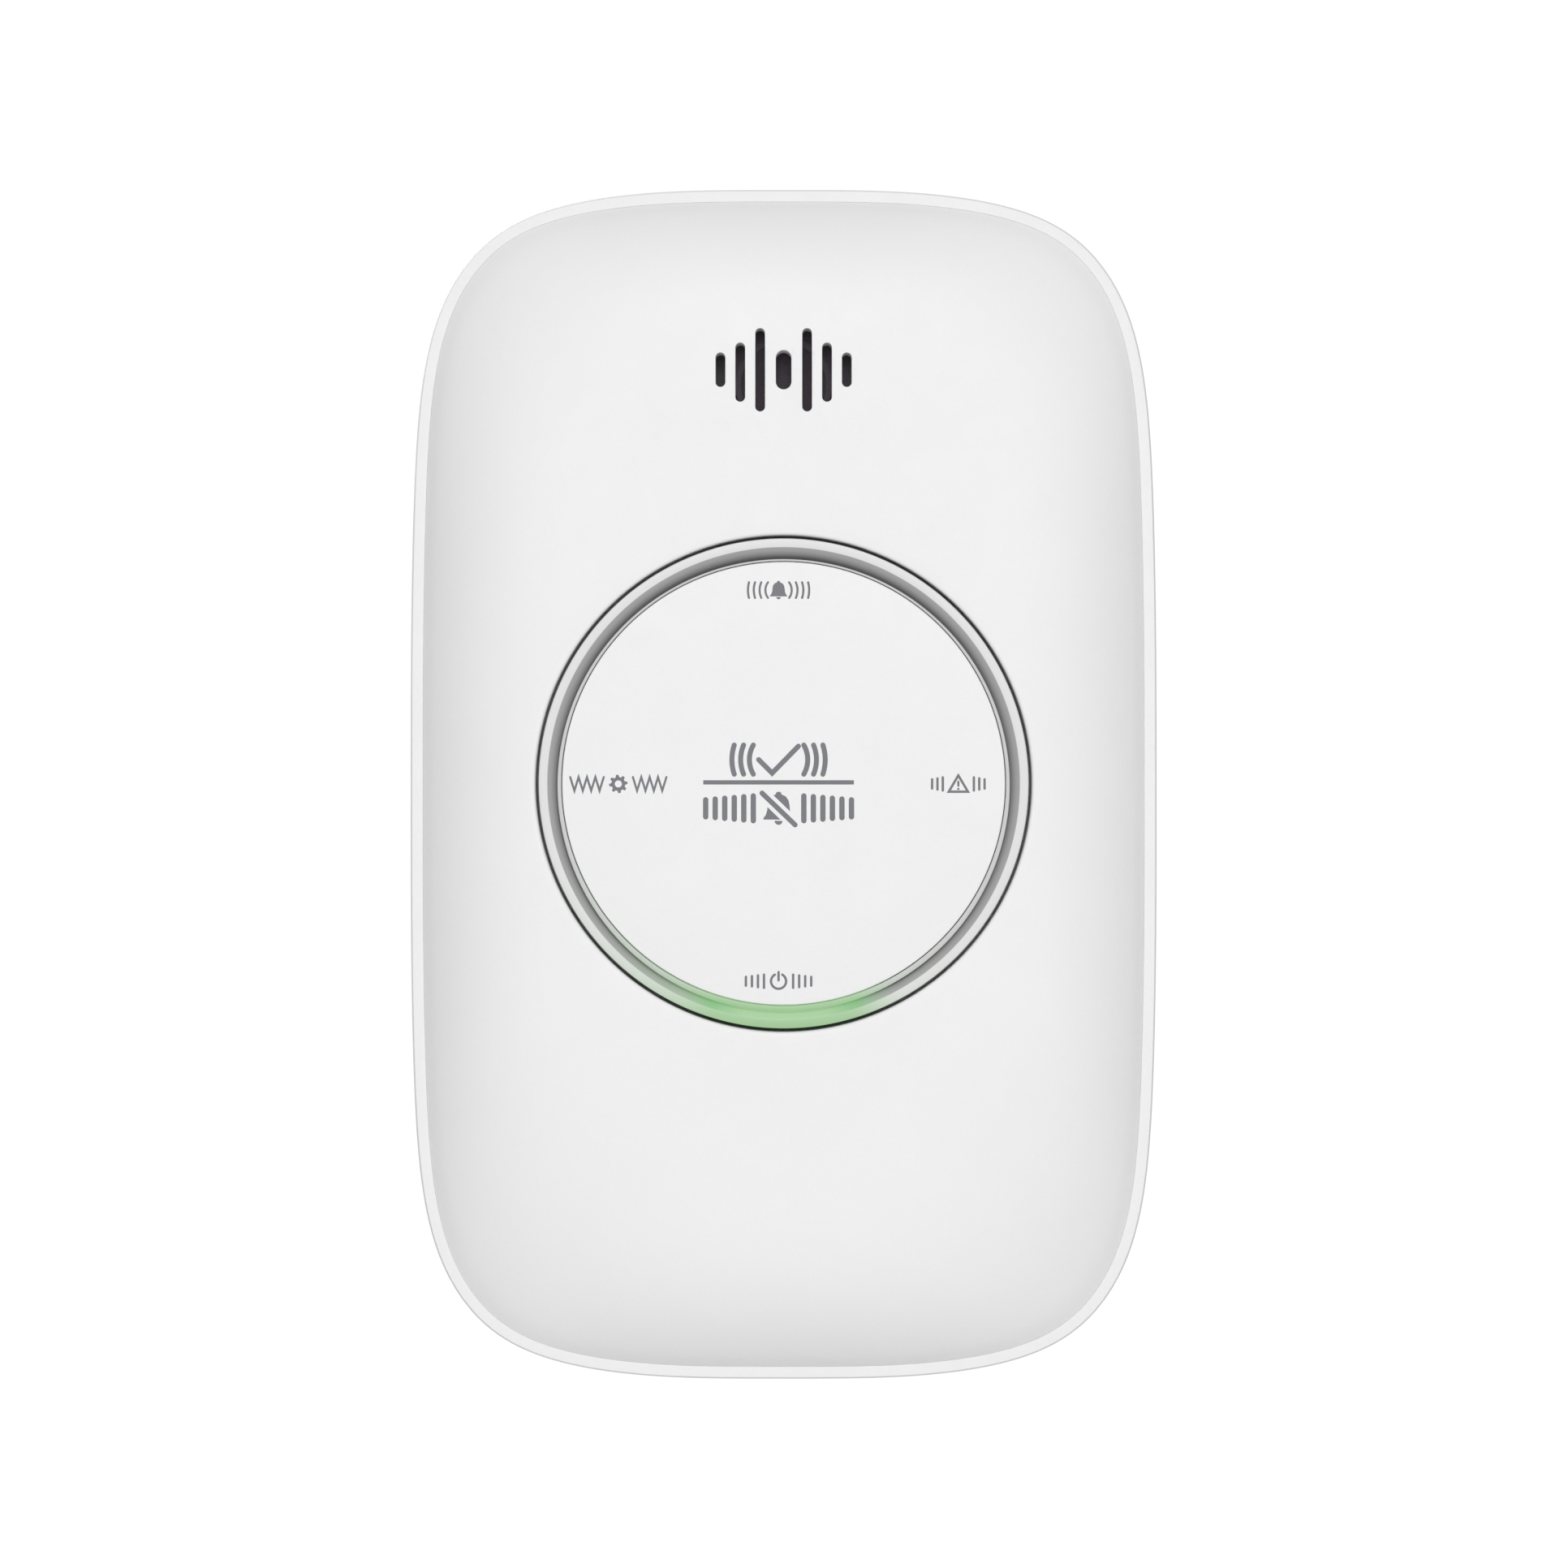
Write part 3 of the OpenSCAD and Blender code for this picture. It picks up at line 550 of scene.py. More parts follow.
def light_ring_material():
    """The light ring: a groove with painted shade between frosted lands, lit green at the bottom."""
    made, tree, shader, where = node_material("light_guide", RING_WHITE, 0.34,
                                              Specular_IOR_Level=0.25)
    across, height, x = ring_places(tree, where)
    painted_shade_edge = maths(tree, "MULTIPLY_ADD", height, 0.085, across)     # the lip's edge sits low, and the painted shade reaches further in round the top
    past_lip = ramp(tree, painted_shade_edge, (0.167, grey(0)), (0.187, grey(1)))
    before_land = ramp(tree, across, (0.61, grey(1)), (0.625, grey(0)))
    in_groove = maths(tree, "MULTIPLY", before_land, past_lip)
    lands = ramp(tree, across, (0.17, LIP_WHITE), (0.6, RING_WHITE))
    # the groove takes its grey tone with painted shade
    plain = blended(tree, in_groove, lands, groove_grey_and_painted_shade(tree, across, height))
    low = maths(tree, "MULTIPLY", height, -1)
    lit = maths(tree, "POWER", lit_share(tree, low, x), maths(tree, "MULTIPLY_ADD", in_groove, 0.6, 1))
    deep = ramp(tree, low, (0.9, grey(0)), (0.945, grey(1)), (0.955, grey(1)), (0.985, grey(0)))
    green = blended(tree, in_groove, LAND_GREEN, blended(tree, deep, GLOW_GREEN, DEEP_GREEN))
    # painted light: part of the lit green is painted into the base colour as well as glowing
    painted_glow = blended(tree, PAINTED_GLOW_SHARE, grey(0.0), green)
    tree.links.new(blended(tree, lit, plain, painted_glow), shader.inputs["Base Color"])
    inside_edge = ramp(tree, across, (0.994, grey(1)), (0.9995, grey(0)))
    glow = maths(tree, "MULTIPLY", lit, inside_edge)
    tree.links.new(blended(tree, glow, grey(0.0), green), shader.inputs["Emission Color"])
    shader.inputs["Emission Strength"].default_value = LIT_GLOW
    bump(tree, shader, noise(tree, where, 0.5, detail=2), 0.002)
    return made


MAT = {
    "case": moulded("case_white", WHITE),
    # the rear housing's white is a shade darker than the cover's: painted shade on the rim
    "rear": moulded("rear_white_shaded", (0.778, 0.778, 0.778)),
    "cap": moulded("cap_white", WHITE),
    "print": moulded("print_grey", (0.158, 0.160, 0.176), grain_mm=0.12, height_mm=0.002),
    "ring": light_ring_material(),
    "plate": moulded("plate_white", (0.78, 0.78, 0.775), rough=0.6),
    "frame": moulded("frame_white", (0.76, 0.76, 0.75), rough=0.5),
    "black": moulded("black_plastic", (0.036, 0.029, 0.036), rough=0.6, spread=0.1),
    "dark": moulded("dark_plastic", (0.09, 0.09, 0.095), rough=0.45, spread=0.06),
    "ivory": moulded("ivory_nylon", (0.72, 0.68, 0.56), rough=0.45),
    "rubber_red": moulded("red_insulation", (0.5, 0.03, 0.025), rough=0.4, grain_mm=0.6,
                          spread=0.05),
    "rubber_black": moulded("black_insulation", (0.02, 0.02, 0.02), rough=0.42, grain_mm=0.6,
                            spread=0.1),
    "foam": moulded("black_foam", (0.034, 0.028, 0.034), rough=0.95, grain_mm=0.5,
                    height_mm=0.15, spread=0.3),
    "felt": moulded("grey_felt", (0.16, 0.16, 0.165), rough=0.95, grain_mm=0.2,
                    height_mm=0.1, spread=0.2),
    "ferrite": moulded("ferrite", (0.05, 0.05, 0.055), rough=0.7, grain_mm=0.4,
                       height_mm=0.02, spread=0.15),
    "ceramic": moulded("piezo_ceramic", (0.62, 0.6, 0.52), rough=0.4, grain_mm=0.3),
    "steel": metal("bright_steel", (0.62, 0.62, 0.63), 0.28),
    "nickel": metal("nickel_plate", (0.66, 0.64, 0.6), 0.22, stretch=(1, 1, 6)),
    "zinc": metal("zinc_plate", (0.6, 0.61, 0.64), 0.35),
    "gold": metal("gold_plate", (0.83, 0.62, 0.27), 0.25),
    "brass": metal("brass", (0.72, 0.53, 0.24), 0.33),
    "red_led": tinted("red_resin", (0.5, 0.03, 0.02)),
    "amber_led": tinted("amber_resin", (0.65, 0.25, 0.03)),
    "green_led": tinted("green_resin", (0.15, 0.7, 0.2), glow=4.0),
    "yellow_led": tinted("yellow_resin", (0.65, 0.5, 0.06)),
}


def cell_material(name, nub_side):
    """A cell's sleeve with a bright band by the nub, and bare steel ends."""
    made, tree, shader, where = node_material(name, (0.05, 0.06, 0.075), 0.28, Coat_Weight=0.3)
    x, _, _ = parts_of(tree, where)
    span = 60                                                    # a little longer than the cell
    along = maths(tree, "MULTIPLY_ADD", x, nub_side / span, 0.5)  # 0 to 1 towards the nub
    foot, band, end = [0.5 + at / span for at in (-21.3, 13.0, 27.1)]
    sleeve = ramp(tree, along, (0.0, grey(0.62)), (foot, (0.045, 0.05, 0.062)),
                  (band, (0.62, 0.35, 0.10)), (end, grey(0.62)))
    steel = ramp(tree, along, (0.0, grey(1)), (foot, grey(0)), (end, grey(1)))
    for made_ramp in (sleeve.node, steel.node):
        made_ramp.color_ramp.interpolation = "CONSTANT"
    tree.links.new(sleeve, shader.inputs["Base Color"])
    tree.links.new(steel, shader.inputs["Metallic"])
    bump(tree, shader, noise(tree, where, 0.8), 0.004)
    return made


def behind_grille(name, colour, rough, relief, low, high):
    """Black material seen through the slots, painted lighter at their feet and darker at their tops:
    painted light and shade, as the light falls into the slots from above.

    A very faint glow stands in for the light that bounces about between the slots' walls.
    """
    made, tree, shader, where = node_material(name, colour, rough)
    shader.inputs["Emission Color"].default_value = (*colour, 1)
    shader.inputs["Emission Strength"].default_value = 0.25
    _, _, z = parts_of(tree, where)
    foot_y, span = GRILLE_Y - 4.2, 6.25
    rise = maths(tree, "MULTIPLY_ADD", z, 1 / span, -foot_y / span)
    # painted light and shade: lighter towards the slots' feet, darker towards their tops
    foot, top = (tuple(c * share for c in colour) for share in (low, high))
    tree.links.new(ramp(tree, rise, (0.0, foot), (1.0, top)), shader.inputs["Base Color"])
    bump(tree, shader, relief(tree, where), 0.05)
    return made


def weave(tree, where):
    """The threads of a plain woven cloth."""
    made = tree.nodes.new("ShaderNodeTexChecker")
    made.inputs["Scale"].default_value = 1 / 0.35
    tree.links.new(where, made.inputs["Vector"])
    return made.outputs["Fac"]


def fine_grain(tree, where):
    """The grain of the sounder's plastic."""
    return noise(tree, where, 0.3, detail=2)


def board_material():
    """Green solder mask over a grid of copper tracks."""
    made, tree, shader, where = node_material("circuit_board", (0.01, 0.09, 0.03), 0.3, Coat_Weight=0.3)
    turn = tree.nodes.new("ShaderNodeMapping")
    turn.inputs["Rotation"].default_value = (math.pi / 2, 0, 0)
    tree.links.new(where, turn.inputs["Vector"])
    tracks = tree.nodes.new("ShaderNodeTexBrick")
    tracks.inputs["Scale"].default_value = 0.5
    tracks.inputs["Mortar Size"].default_value = 0.05
    tracks.inputs["Brick Width"].default_value = 3.1
    tracks.inputs["Row Height"].default_value = 0.7
    tree.links.new(turn.outputs["Vector"], tracks.inputs["Vector"])
    copper = blended(tree, tracks.outputs["Fac"], (0.008, 0.085, 0.028), (0.02, 0.16, 0.05))
    tree.links.new(copper, shader.inputs["Base Color"])
    bump(tree, shader, tracks.outputs["Fac"], 0.02)
    return made


def label_material():
    """A blank paper label, divided by thin rules."""
    made, tree, shader, where = node_material("label_paper", (0.74, 0.74, 0.73), 0.6)
    turn = tree.nodes.new("ShaderNodeMapping")
    turn.inputs["Rotation"].default_value = (math.pi / 2, 0, 0)
    tree.links.new(where, turn.inputs["Vector"])
    rules = tree.nodes.new("ShaderNodeTexBrick")
    rules.offset = 0
    rules.inputs["Scale"].default_value = 0.2
    rules.inputs["Mortar Size"].default_value = 0.012
    rules.inputs["Brick Width"].default_value = 2.2
    rules.inputs["Row Height"].default_value = 0.62
    tree.links.new(turn.outputs["Vector"], rules.inputs["Vector"])
    fibre = ramp(tree, noise(tree, where, 0.3), (0.3, grey(0.70)), (0.7, grey(0.76)))
    ruled = blended(tree, rules.outputs["Fac"], fibre, (0.35, 0.35, 0.36))
    tree.links.new(ruled, shader.inputs["Base Color"])
    bump(tree, shader, noise(tree, where, 0.2), 0.004)
    return made


MAT["cell_up"] = cell_material("cell_sleeve_a", 1)
MAT["cell_down"] = cell_material("cell_sleeve_b", -1)
MAT["board"] = board_material()
# painted light and shade: the cloth is painted lighter towards the slots' feet, the sounder darker towards
# their tops
MAT["cloth"] = behind_grille("port_cloth", (0.034, 0.028, 0.034), 0.95, weave, 1.75, 1.0)
MAT["sounder"] = behind_grille("sounder_plastic", (0.036, 0.029, 0.036), 0.6, fine_grain, 1.08, 0.5)
MAT["label"] = label_material()

# ---------------------------------------------------------------- rear housing


def housing_shell():
    """The skirt with its rim, from the back of the rear panel round to the panel's inside."""
    tuck, pocket, steps_up = SKIRT_TUCK, SHELL + 1.1, 22
    steps = [(tuck + SHELL, FLOOR_Z), (tuck + SHELL, BACK_Z + 0.15), (tuck + SHELL - 0.15, BACK_Z)]
    steps += [(tuck + 0.4, BACK_Z), (tuck + 0.16, BACK_Z + 0.08)]
    low, high = BACK_Z + 0.3, RIM_Z - 2.2 * RIM_EDGE
    for k in range(steps_up):
        z = low + (high - low) * (k / steps_up) ** 1.2
        steps.append((skirt_inset(z), z))
    steps += [(0, high), (RIM_EDGE * 0.85, RIM_Z - RIM_EDGE * 0.12), (RIM_EDGE, RIM_Z)]
    steps += [(RIM_W - 0.03, RIM_Z), (RIM_W, RIM_Z - 0.04), (RIM_W, LAP_Z - 0.1)]
    steps += [(pocket, LAP_Z - 0.1), (pocket, PANEL_Z)]
    return loft([level(outline(inset), z) for inset, z in steps])


def battery_bay():
    """The walls round the cells, with a shallow step at the bottom for the door's hinge."""
    wall, step_z = BAY_WALL, 6.9
    out = BAY_HALF + wall
    bay = make("bay", cuboid((-out, BAY_LO - wall, FLOOR_Z + 0.6), (out, BAY_HI + 3, BAY_TOP + 1.2)))
    add(bay, cuboid((-out, OPEN_LO - wall, FLOOR_Z + 0.6), (out, BAY_LO - 0.5, step_z + 0.9)))
    cut(bay, cuboid((-BAY_HALF, BAY_LO, 0), (BAY_HALF, BAY_HI, BAY_TOP)),
        cuboid((-OPEN_HALF, OPEN_LO, 0), (OPEN_HALF, BAY_LO - wall, step_z)),
        cuboid((-OPEN_HALF, OPEN_LO, 0), (OPEN_HALF, OPEN_HI, PANEL_Z + 0.3)))
    return taken(bay)


def side_slit(y):
    """One upright slit through the right flank."""
    points, faces = prism(slot_outline(SLIT_W, SLIT_LENGTH), HALF_W - 7, HALF_W + 3)
    return [(z, y + x, SLIT_Z + py) for x, py, z in points], faces


def plate_guides():
    """The right-hand rail that the wall plate slides in, and the lips that hold it."""
    rail = cuboid((31, PLATE_LO.y - 1, BACK_Z), (32.6, PLATE_HI.y + 1.6, FLOOR_Z + 0.5))
    return [rail] + [cuboid((29, y, BACK_Z), (31.5, y + 12, 1.2)) for y in (-8, 28)]


def hinge_lug():
    """The right-hand lug of the door's hinge, and the web that joins it to the bay."""
    out, half = OPEN_HALF + 0.5, HINGE_Z - FLOOR_Z
    return [rod_x(half, LUG_IN, out, HINGE_Y, HINGE_Z),
            cuboid((LUG_IN, HINGE_Y - half, HINGE_Z), (out, HINGE_Y + half, HINGE_Z + 2.6))]


def rear_housing():
    """The back of the case, with its posts, the bay, the slits and everything the plate slides on."""
    made = make("rear_housing_shell", housing_shell())
    cut(made, cuboid((-OPEN_HALF, OPEN_LO, -1), (OPEN_HALF, OPEN_HI, PANEL_Z + 1)))
    for part in plate_guides() + hinge_lug():
        add(made, part, mirrored(part))
    stop_y = PLATE_HI.y + 0.05
    add(made, cuboid((-20, stop_y, BACK_Z), (20, PLATE_HI.y + 1.6, FLOOR_Z + 0.5)), battery_bay())
    add(made, *[rod(CASE_POST_R, FLOOR_Z, CASE_POST_Z, x, y) for x, y in CASE_SCREWS])
    add(made, *[rod(BOARD_POST_R, PANEL_Z - 0.5, BOARD_Z, x, y) for x, y in BOARD_SCREWS])
    bore = rod_x(HINGE_BORE, 20, OPEN_HALF - 0.3, HINGE_Y, HINGE_Z, n=32)
    cut(made, cuboid((-31.5, -HALF_H - 1, -1), (31.5, -44, FLOOR_Z)), bore, mirrored(bore))
    cut(made, *[rod(CASE_HEAD_R, -1, CASE_HEAD_Z, x, y) for x, y in CASE_SCREWS])
    cut(made, *[rod(CASE_HOLE_R, -1, CASE_POST_Z + 1, x, y, 32) for x, y in CASE_SCREWS])
    cut(made, *[rod(BOARD_BORE_R, 12, BOARD_Z + 2, x, y, 32) for x, y in BOARD_SCREWS])
    for k in range(SLITS):
        slit = side_slit(SLIT_LO + SLIT_PITCH * k)
        cut(made, slit, mirrored(slit))
    cut(made, rod_x(8, -8, 8, OPEN_HI, FLOOR_Z - 7, n=96))
    cut(made, *[cuboid((29, y - 1.7, 15.85), (31.5, y + 1.7, 16.55)) for y in CELL_YS])
    return settle(made, "alarm_body", MAT["rear"], ["rear_housing"])


# ---------------------------------------------------------------- front cover

DOME_STEPS = 44


def toward_hole(edge, radius):
    """Rings of (x, y) points from an outline in to a circle, closest together at the outline."""
    rings = []
    for k in range(DOME_STEPS + 1):
        share = (k / DOME_STEPS) ** 1.4
        ring = []
        for (ux, uy), (x, y) in zip(UNIT, edge):
            length = math.hypot(ux, uy)
            ring.append((x + (radius * ux / length - x) * share, y + (radius * uy / length - y) * share))
        rings.append(ring)
    return rings


def front_z(x, y):
    """Height of the cover's outside at a point."""
    return dome_z(inset_at(x, y))


def back_z(x, y):
    """The cover's inside, one wall thickness behind the front, measured square to it."""
    d = inset_at(x, y)
    slope = DOME_RISE * DOME_POWER / DOME_W * max(0.0, 1 - d / DOME_W) ** (DOME_POWER - 1)
    return dome_z(d) - SHELL * math.hypot(1, slope)


def hole_ring(radius, z):
    """A ring of the hole's wall, point for point with the outline."""
    return [(radius * ux / math.hypot(ux, uy), radius * uy / math.hypot(ux, uy), z) for ux, uy in UNIT]


def cover_shell():
    """The front skin, the hole's collar, the inside and the edge that laps the rim."""
    rings = [[(x, y, front_z(x, y)) for x, y in ring]
             for ring in toward_hole(outline(RIM_W + 0.006), HOLE_R + HOLE_EDGE)]
    brim = rings[-1]
    for r, drop in fillet(0, 0, HOLE_EDGE, 75, 0, 4):
        turned = hole_ring(HOLE_R + HOLE_EDGE - r, 0)
        rings.append([(x, y, z - HOLE_EDGE + drop) for (x, y, _), (_, _, z) in zip(turned, brim)])
    collar, bevel = HOLE_R + COLLAR_W, 0.15
    rings += [hole_ring(HOLE_R, COLLAR_Z + bevel), hole_ring(HOLE_R + bevel, COLLAR_Z),
              hole_ring(collar - bevel, COLLAR_Z), hole_ring(collar, COLLAR_Z + bevel)]
    inner_edge = outline(RIM_W + 1.65)
    inside = toward_hole(inner_edge, collar)
    rings += [[(x, y, back_z(x, y)) for x, y in ring] for ring in reversed(inside)]
    rings += [level(inner_edge, LAP_Z), level(outline(RIM_W + 0.06), LAP_Z)]
    rings += [level(outline(RIM_W + 0.04), RIM_Z - 0.12)]
    return loft(rings, closed=True)


def grille_cutter(w, length, x, y):
    """A slot's space, flaring at the front so that the slot's edge is rounded."""
    edge = SLOT_EDGE
    steps = [(0, BOSS_Z - 2), (0, FACE_Z - edge)]
    steps += [(edge - r, FACE_Z - edge + z) for r, z in fillet(0, 0, edge, 15, 75, 3)]
    steps += [(edge, FACE_Z + 0.002), (edge + 0.1, FACE_Z + 0.5)]
    return loft([level(slot_outline(w + 2 * grow, length + 2 * grow, x, y), z) for grow, z in steps])


def front_cover():
    """The domed cover, with the boss over the sounder, the screw posts and the grille."""
    made = make("front_cover_shell", cover_shell())
    add(made, rod(10, BOSS_Z, FACE_Z - 1.7, 0, SOUNDER_Y))
    add(made, *[rod(COVER_POST_R, CASE_POST_Z + 0.1, COVER_POST_Z, x, y) for x, y in CASE_SCREWS])
    cut(made, *[rod(COVER_BORE_R, CASE_POST_Z - 1, COVER_BORE_Z, x, y, 32) for x, y in CASE_SCREWS])
    cut(made, grille_cutter(*MIDDLE_SLOT, 0, GRILLE_Y))
    for x, length, drop in SIDE_SLOTS:
        for side in (-1, 1):
            cut(made, grille_cutter(SLOT_W, length, side * x, GRILLE_Y - drop))
    return settle(made, "alarm_body", MAT["case"], ["front_cover"])


# ---------------------------------------------------------------- test button


def button_cap():
    """The round cap: face, skirt, pins and the post over the switch."""
    under, skirt_z, skirt_in = FACE_Z - 2, CAP_LO.z + 3.45, CAP_R - 1.6
    edge = 0.13
    profile = [(0.002, under), (skirt_in, under), (skirt_in, skirt_z), (CAP_R, skirt_z)]
    profile += fillet(CAP_R - edge, FACE_Z - edge, edge, 0, 90)
    profile += [(CAP_R * 0.6, FACE_Z), (0.002, FACE_Z)]
    made = make("button_cap_shell", revolve(profile))
    root = under + 0.5
    add(made, rod(2.4, SWITCH_POST_Z, root))
    for x, y in circle(PIN_RING_R, 3, turned=math.radians(30)):
        add(made, rod(1.2, CAP_LO.z, root, x, y), rod(3.2, under - 0.8, root, x, y))
    return settle(made, "test_button", MAT["cap"], ["button_cap"])


def light_ring():
    """Lip, sloping groove and flat land, with the flange that keeps the button in."""
    lip, land = RING_IN + 0.41, RING_IN + 1.37
    top, lip_z, groove_z = FACE_Z, FACE_Z - 0.3, FACE_Z - 1.05
    foot, flange_z, flange_in = RING_LO.z, RING_LO.z + 1.9, RING_IN - 1.5
    profile = [(flange_in, foot), (RING_OUT + 1.6, foot), (RING_OUT + 1.6, flange_z), (RING_OUT, flange_z)]
    profile += fillet(RING_OUT - 0.14, top - 0.14, 0.14, 0, 90)
    profile += fillet(land + 0.06, top - 0.06, 0.06, 90, 135, 2)
    profile += [(lip + 0.06, groove_z, LIP_DROP)]
    profile += [(r, z, LIP_DROP) for r, z in fillet(lip - 0.09, lip_z - 0.09, 0.09, 0, 90, 3)]
    profile += fillet(RING_IN + 0.09, lip_z - 0.09, 0.09, 90, 180, 3)
    profile += [(RING_IN, foot + 0.4), (flange_in, foot + 0.4)]
    made = make("light_ring_lens", revolve(profile, 360))
    return settle(made, "test_button", MAT["ring"], ["light_ring"])


rear_housing()
front_cover()
button_cap()
light_ring()

# ---------------------------------------------------------------- printed marks

PRINT_LO = FACE_Z - 0.02
PRINT_HI = FACE_Z + 0.012
THIN = 0.25                          # stroke of the small marks
THICK = 0.52                         # stroke of the large marks
MARKS_X = -0.52                      # the middle column stands a little left of centre


def ribbon(path, width, closed=False):
    """A printed stroke along a path, with round ends."""
    n = len(path)
    points = [Vector(p) for p in path]
    sections = []
    for i, here in enumerate(points):
        before = points[i - 1] if closed or i else here
        after = points[(i + 1) % n] if closed or i < n - 1 else here
        into, out = (here - before), (after - here)
        into = into.normalized() if into.length else out.normalized()
        out = out.normalized() if out.length else into
        along = (into + out).normalized()
        side = Vector((-along.y, along.x)) * (width / 2 / max(0.3, along.dot(out)))
        sections.append((here, side, along))
    if not closed:
        for end, sign in ((0, -1), (-1, 1)):
            here, side, along = sections[end]
            tips = [(here + along * (sign * width / 2 * math.sin(a)), side * math.cos(a), along)
                    for a in (math.radians(k) for k in (22, 44, 66, 84))]
            sections = tips[::-1] + sections if end == 0 else sections + tips
    rings = []
    for here, side, _ in sections:
        left, right = here + side, here - side
        rings.append([(left.x, left.y, PRINT_LO), (right.x, right.y, PRINT_LO),
                      (right.x, right.y, PRINT_HI), (left.x, left.y, PRINT_HI)])
    return loft(rings, closed=closed)


def arc(r, start, end, x=0.0, y=0.0, n=24):
    """Points round an arc, in degrees."""
    turns = [math.radians(start + (end - start) * k / n) for k in range(n + 1)]
    return [(x + r * math.cos(a), y + r * math.sin(a)) for a in turns]


def patch(outline_points):
    """A filled printed shape."""
    return prism(outline_points, PRINT_LO, PRINT_HI)


def shifted(part, x, y):
    """The same part moved across the drawing."""
    points, faces = part
    return [(px + x, py + y, pz) for px, py, pz in points], faces


def waves(height, width, radii):
    """Sound waves on both sides of a mark."""
    strokes = []
    for r in radii:
        reach = math.degrees(math.asin(min(1.0, height / 2 / r)))
        right = ribbon(arc(r, -reach, reach), width)
        strokes += [right, mirrored(right)]
    return merged(*strokes)


def bars(marks, width):
    """Upright strokes on both sides of a mark: each is (distance, height)."""
    strokes = [ribbon([(x, -(h - width) / 2), (x, (h - width) / 2)], width) for x, h in marks]
    return merged(*strokes, *[mirrored(stroke) for stroke in strokes])


def zigzag(start, end, height, width, n):
    """A jagged line on both sides of a mark."""
    path = [(start + (end - start) * k / n, height / 2 * (-1) ** k) for k in range(n + 1)]
    return merged(ribbon(path, width), mirrored(ribbon(path, width)))


def bell(size):
    """A bell with its clapper, size high."""
    half = [(0.46, -0.34), (0.46, -0.30), (0.385, -0.2), (0.345, -0.06), (0.33, 0.1), (0.30, 0.24),
            (0.22, 0.36), (0.09, 0.42), (0.07, 0.48), (0.03, 0.5)]
    body = half + [(-x, y) for x, y in reversed(half)]
    clapper = [(x * size, y * size) for x, y in arc(0.12, 180, 360, 0, -0.38, 12)]
    return merged(patch([(x * size, y * size) for x, y in body]), patch(clapper))


def silent_bell(size):
    """A bell with a stroke through it."""
    made = make("silent_bell", bell(size))
    slope = [(-0.5 * size, 0.46 * size), (0.5 * size, -0.5 * size)]
    wide, faces = ribbon(slope, 2.5 * THICK)
    cut(made, ([(x, y, z + (0.1 if z > FACE_Z else -0.1)) for x, y, z in wide], faces))
    return merged(taken(made), ribbon(slope, THICK))


def tick(size):
    """A check mark."""
    return ribbon([(-0.62 * size, 0.0), (-0.2 * size, -0.42 * size), (0.62 * size, 0.42 * size)], THICK)


def power(size):
    """A broken ring with a stroke at the top."""
    return merged(ribbon(arc(size / 2 - THIN / 2, 120, 420, n=40), THIN),
                  ribbon([(0, 0.05 * size), (0, 0.52 * size)], THIN))


def warning(size):
    """A triangle round a stroke and a dot."""
    frame_path = [(-0.52 * size, -0.42 * size), (0.52 * size, -0.42 * size), (0, 0.46 * size)]
    return merged(ribbon(frame_path, THIN, closed=True),
                  ribbon([(0, 0.12 * size), (0, -0.1 * size)], THIN * 0.9),
                  patch(circle(THIN * 0.48, 16, 0, -0.27 * size)))


def gear(size, teeth=8):
    """A toothed wheel with a hole."""
    rim, per = [], 6
    for k in range(teeth * per):
        r = size / 2 if k % per < per // 2 else size / 2 - 0.24
        a = 2 * math.pi * k / (teeth * per)
        rim.append((r * math.cos(a), r * math.sin(a)))
    hole = circle(size / 5.2, teeth * per)
    return loft([level(rim, PRINT_LO), level(rim, PRINT_HI), level(hole, PRINT_HI),
                 level(hole, PRINT_LO)], closed=True)


BAR_W, BAR_H = 15.5, 0.44
MARKS = {
    "mark_alarm": (MARKS_X, 19.89, bell(1.9), waves(1.6, THIN * 0.9, (1.35, 1.95, 2.55, 3.15))),
    "mark_power": (MARKS_X, -20.36, power(1.8),
                   bars([(1.5 + 0.62 * k, 1.6 - 0.15 * k) for k in range(4)], THIN)),
    "mark_fault": (17.98, -0.06, warning(1.9), bars([(1.6, 1.6), (2.15, 1.4), (2.7, 1.2)], THIN)),
    "mark_malfunction": (-17.01, -0.06, gear(1.9), zigzag(1.5, 4.95, 1.4, THIN * 0.9, 8)),
    "mark_test": (MARKS_X, 2.44, tick(3.3), waves(3.0, THICK, (3.0, 3.9, 4.8))),
    "mark_divider": (MARKS_X, 0.1, patch([(-BAR_W / 2, -BAR_H / 2), (BAR_W / 2, -BAR_H / 2),
                                          (BAR_W / 2, BAR_H / 2), (-BAR_W / 2, BAR_H / 2)])),
    "mark_silence": (MARKS_X, -2.57, silent_bell(3.4),
                     bars([(2.6 + 0.98 * k, 3.1 - 0.16 * k) for k in range(6)], THICK * 1.06)),
}
for name, (x, y, *parts) in MARKS.items():
    settle(make(name, shifted(merged(*parts), x, y)), "test_button", MAT["print"])

# ---------------------------------------------------------------- CAD nodes that stay

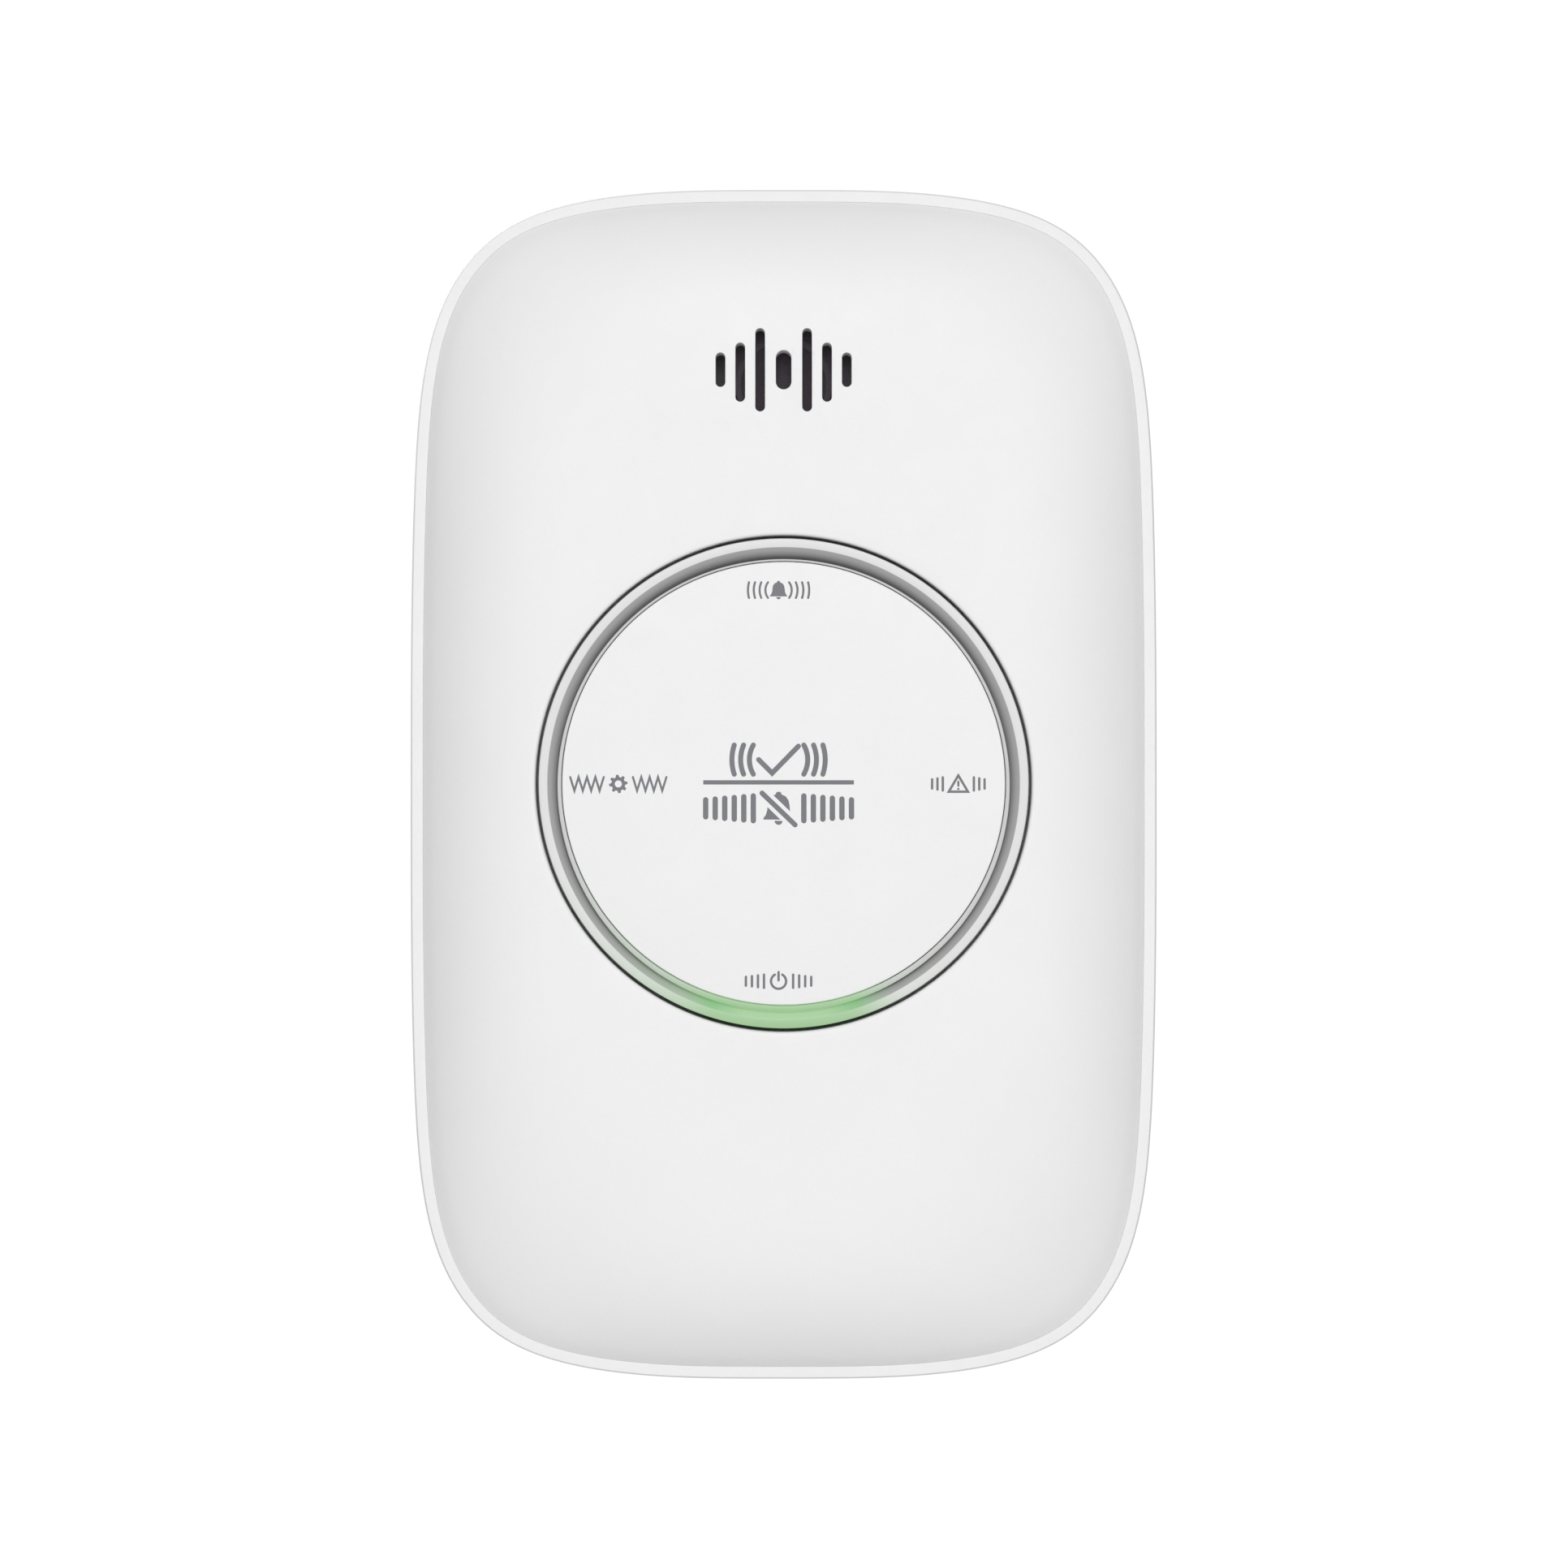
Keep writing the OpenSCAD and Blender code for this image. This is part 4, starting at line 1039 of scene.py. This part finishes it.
LOOKS = {
    "wall_plate": "plate", "battery_door": "case", "button_guide": "frame", "return_springs": "steel",
    "reflector_ring": "frame", "tact_switch": "black", "tact_plunger": "dark", "alarm_led": "red_led",
    "fault_led": "amber_led", "power_led": "green_led", "malfunction_led": "yellow_led",
    "main_pcb": "board", "microcontroller": "black", "chip_components": "dark",
    "electrolytic_capacitors": "nickel", "step_up_coil": "ferrite", "co_sensor_can": "steel",
    "co_sensor_base": "black", "sensor_filter": "felt", "sensor_pins": "gold",
    "sounder_housing": "sounder", "sounder_gasket": "foam", "port_cloth": "cloth", "piezo_plate": "brass",
    "piezo_ceramic": "ceramic", "sounder_leads": "rubber_red", "battery_upper": "cell_up",
    "battery_lower": "cell_down", "contact_bridge": "nickel", "contact_positive": "nickel",
    "contact_negative": "nickel", "contact_springs": "steel", "battery_lead_red": "rubber_red",
    "battery_lead_black": "rubber_black", "lead_connector": "ivory", "case_screws": "zinc",
    "pcb_screws": "zinc", "rating_label": "label",
}
BEVELLED = {"wall_plate": 0.25, "battery_door": 0.2, "case_screws": 0.12, "tact_switch": 0.1,
            "contact_bridge": 0.06, "contact_positive": 0.06, "contact_negative": 0.06}

for node, look in LOOKS.items():
    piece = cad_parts[node]
    piece.data.materials.clear()
    piece.data.materials.append(MAT[look])
    if node in BEVELLED:
        edge = piece.modifiers.new("edges", "BEVEL")
        edge.width = BEVELLED[node] * MM
        edge.segments = 2
        edge.limit_method = "ANGLE"
        edge.angle_limit = math.radians(50)
        edge.harden_normals = True

# ---------------------------------------------------------------- camera, lights and floor

VIEW_DISTANCE = 0.5                  # from the rim's plane
VIEW_WIDTH = 0.16381                 # what the frame takes in at the rim's plane
VIEW_RISE = 0.0063                   # the camera looks up by this much, in radians
VIEW_X = 0.00004
VIEW_Z = -0.00002                    # where it looks, at the rim's plane

camera = bpy.data.objects.new("camera", bpy.data.cameras.new("camera"))
camera.data.sensor_width = 36
camera.data.lens = camera.data.sensor_width * VIEW_DISTANCE / VIEW_WIDTH
camera.data.clip_start = 0.01
camera.location = (VIEW_X, -(RIM_Z * MM + VIEW_DISTANCE), VIEW_Z - VIEW_DISTANCE * VIEW_RISE)
camera.rotation_euler = (math.pi / 2 + VIEW_RISE, 0, 0)
bpy.context.scene.collection.objects.link(camera)
bpy.context.scene.camera = camera
bpy.context.scene.view_settings.view_transform = "Standard"


def soft_light(name, place, size, watts):
    """A square area light that faces the object, narrowed to keep it off the floor."""
    lamp = bpy.data.lights.new(name, "AREA")
    lamp.shape = "SQUARE"
    lamp.size = size
    lamp.spread = math.radians(60)
    lamp.energy = watts
    made = bpy.data.objects.new(name, lamp)
    made.location = place
    made.rotation_euler = (Vector((0, -0.03, 0)) - Vector(place)).to_track_quat("-Z", "Y").to_euler()
    bpy.context.scene.collection.objects.link(made)


def studio_world(ambient, seen):
    """White all round: one strength lights the object, the other is what the camera sees."""
    world = bpy.data.worlds.new("studio")
    bpy.context.scene.world = world
    world.use_nodes = True
    tree = world.node_tree
    lighting = tree.nodes["Background"]
    backdrop = tree.nodes.new("ShaderNodeBackground")
    for background, strength in ((lighting, ambient), (backdrop, seen)):
        background.inputs["Color"].default_value = (1, 1, 1, 1)
        background.inputs["Strength"].default_value = strength
    path = tree.nodes.new("ShaderNodeLightPath")
    choice = tree.nodes.new("ShaderNodeMixShader")
    tree.links.new(path.outputs["Is Camera Ray"], choice.inputs["Fac"])
    tree.links.new(lighting.outputs[0], choice.inputs[1])
    tree.links.new(backdrop.outputs[0], choice.inputs[2])
    tree.links.new(choice.outputs[0], tree.nodes["World Output"].inputs["Surface"])


def studio_floor(radius, z):
    """A plain pale disc well below the object."""
    mesh = bpy.data.meshes.new("floor")
    mesh.from_pydata([(x, y, z) for x, y in circle(radius, 96)], [], [tuple(range(96))])
    mesh.materials.append(moulded("studio_floor", (0.82, 0.82, 0.82), rough=0.7, grain_mm=2))
    made = bpy.data.objects.new("floor", mesh)
    bpy.context.scene.collection.objects.link(made)


soft_light("key", (0.07, -1.4, 0.43), 0.9, 1.995)
soft_light("back", (-0.6, 1.2, 0.6), 0.9, 2)
studio_world(0.48, 1.02)
studio_floor(1.1, -0.3)
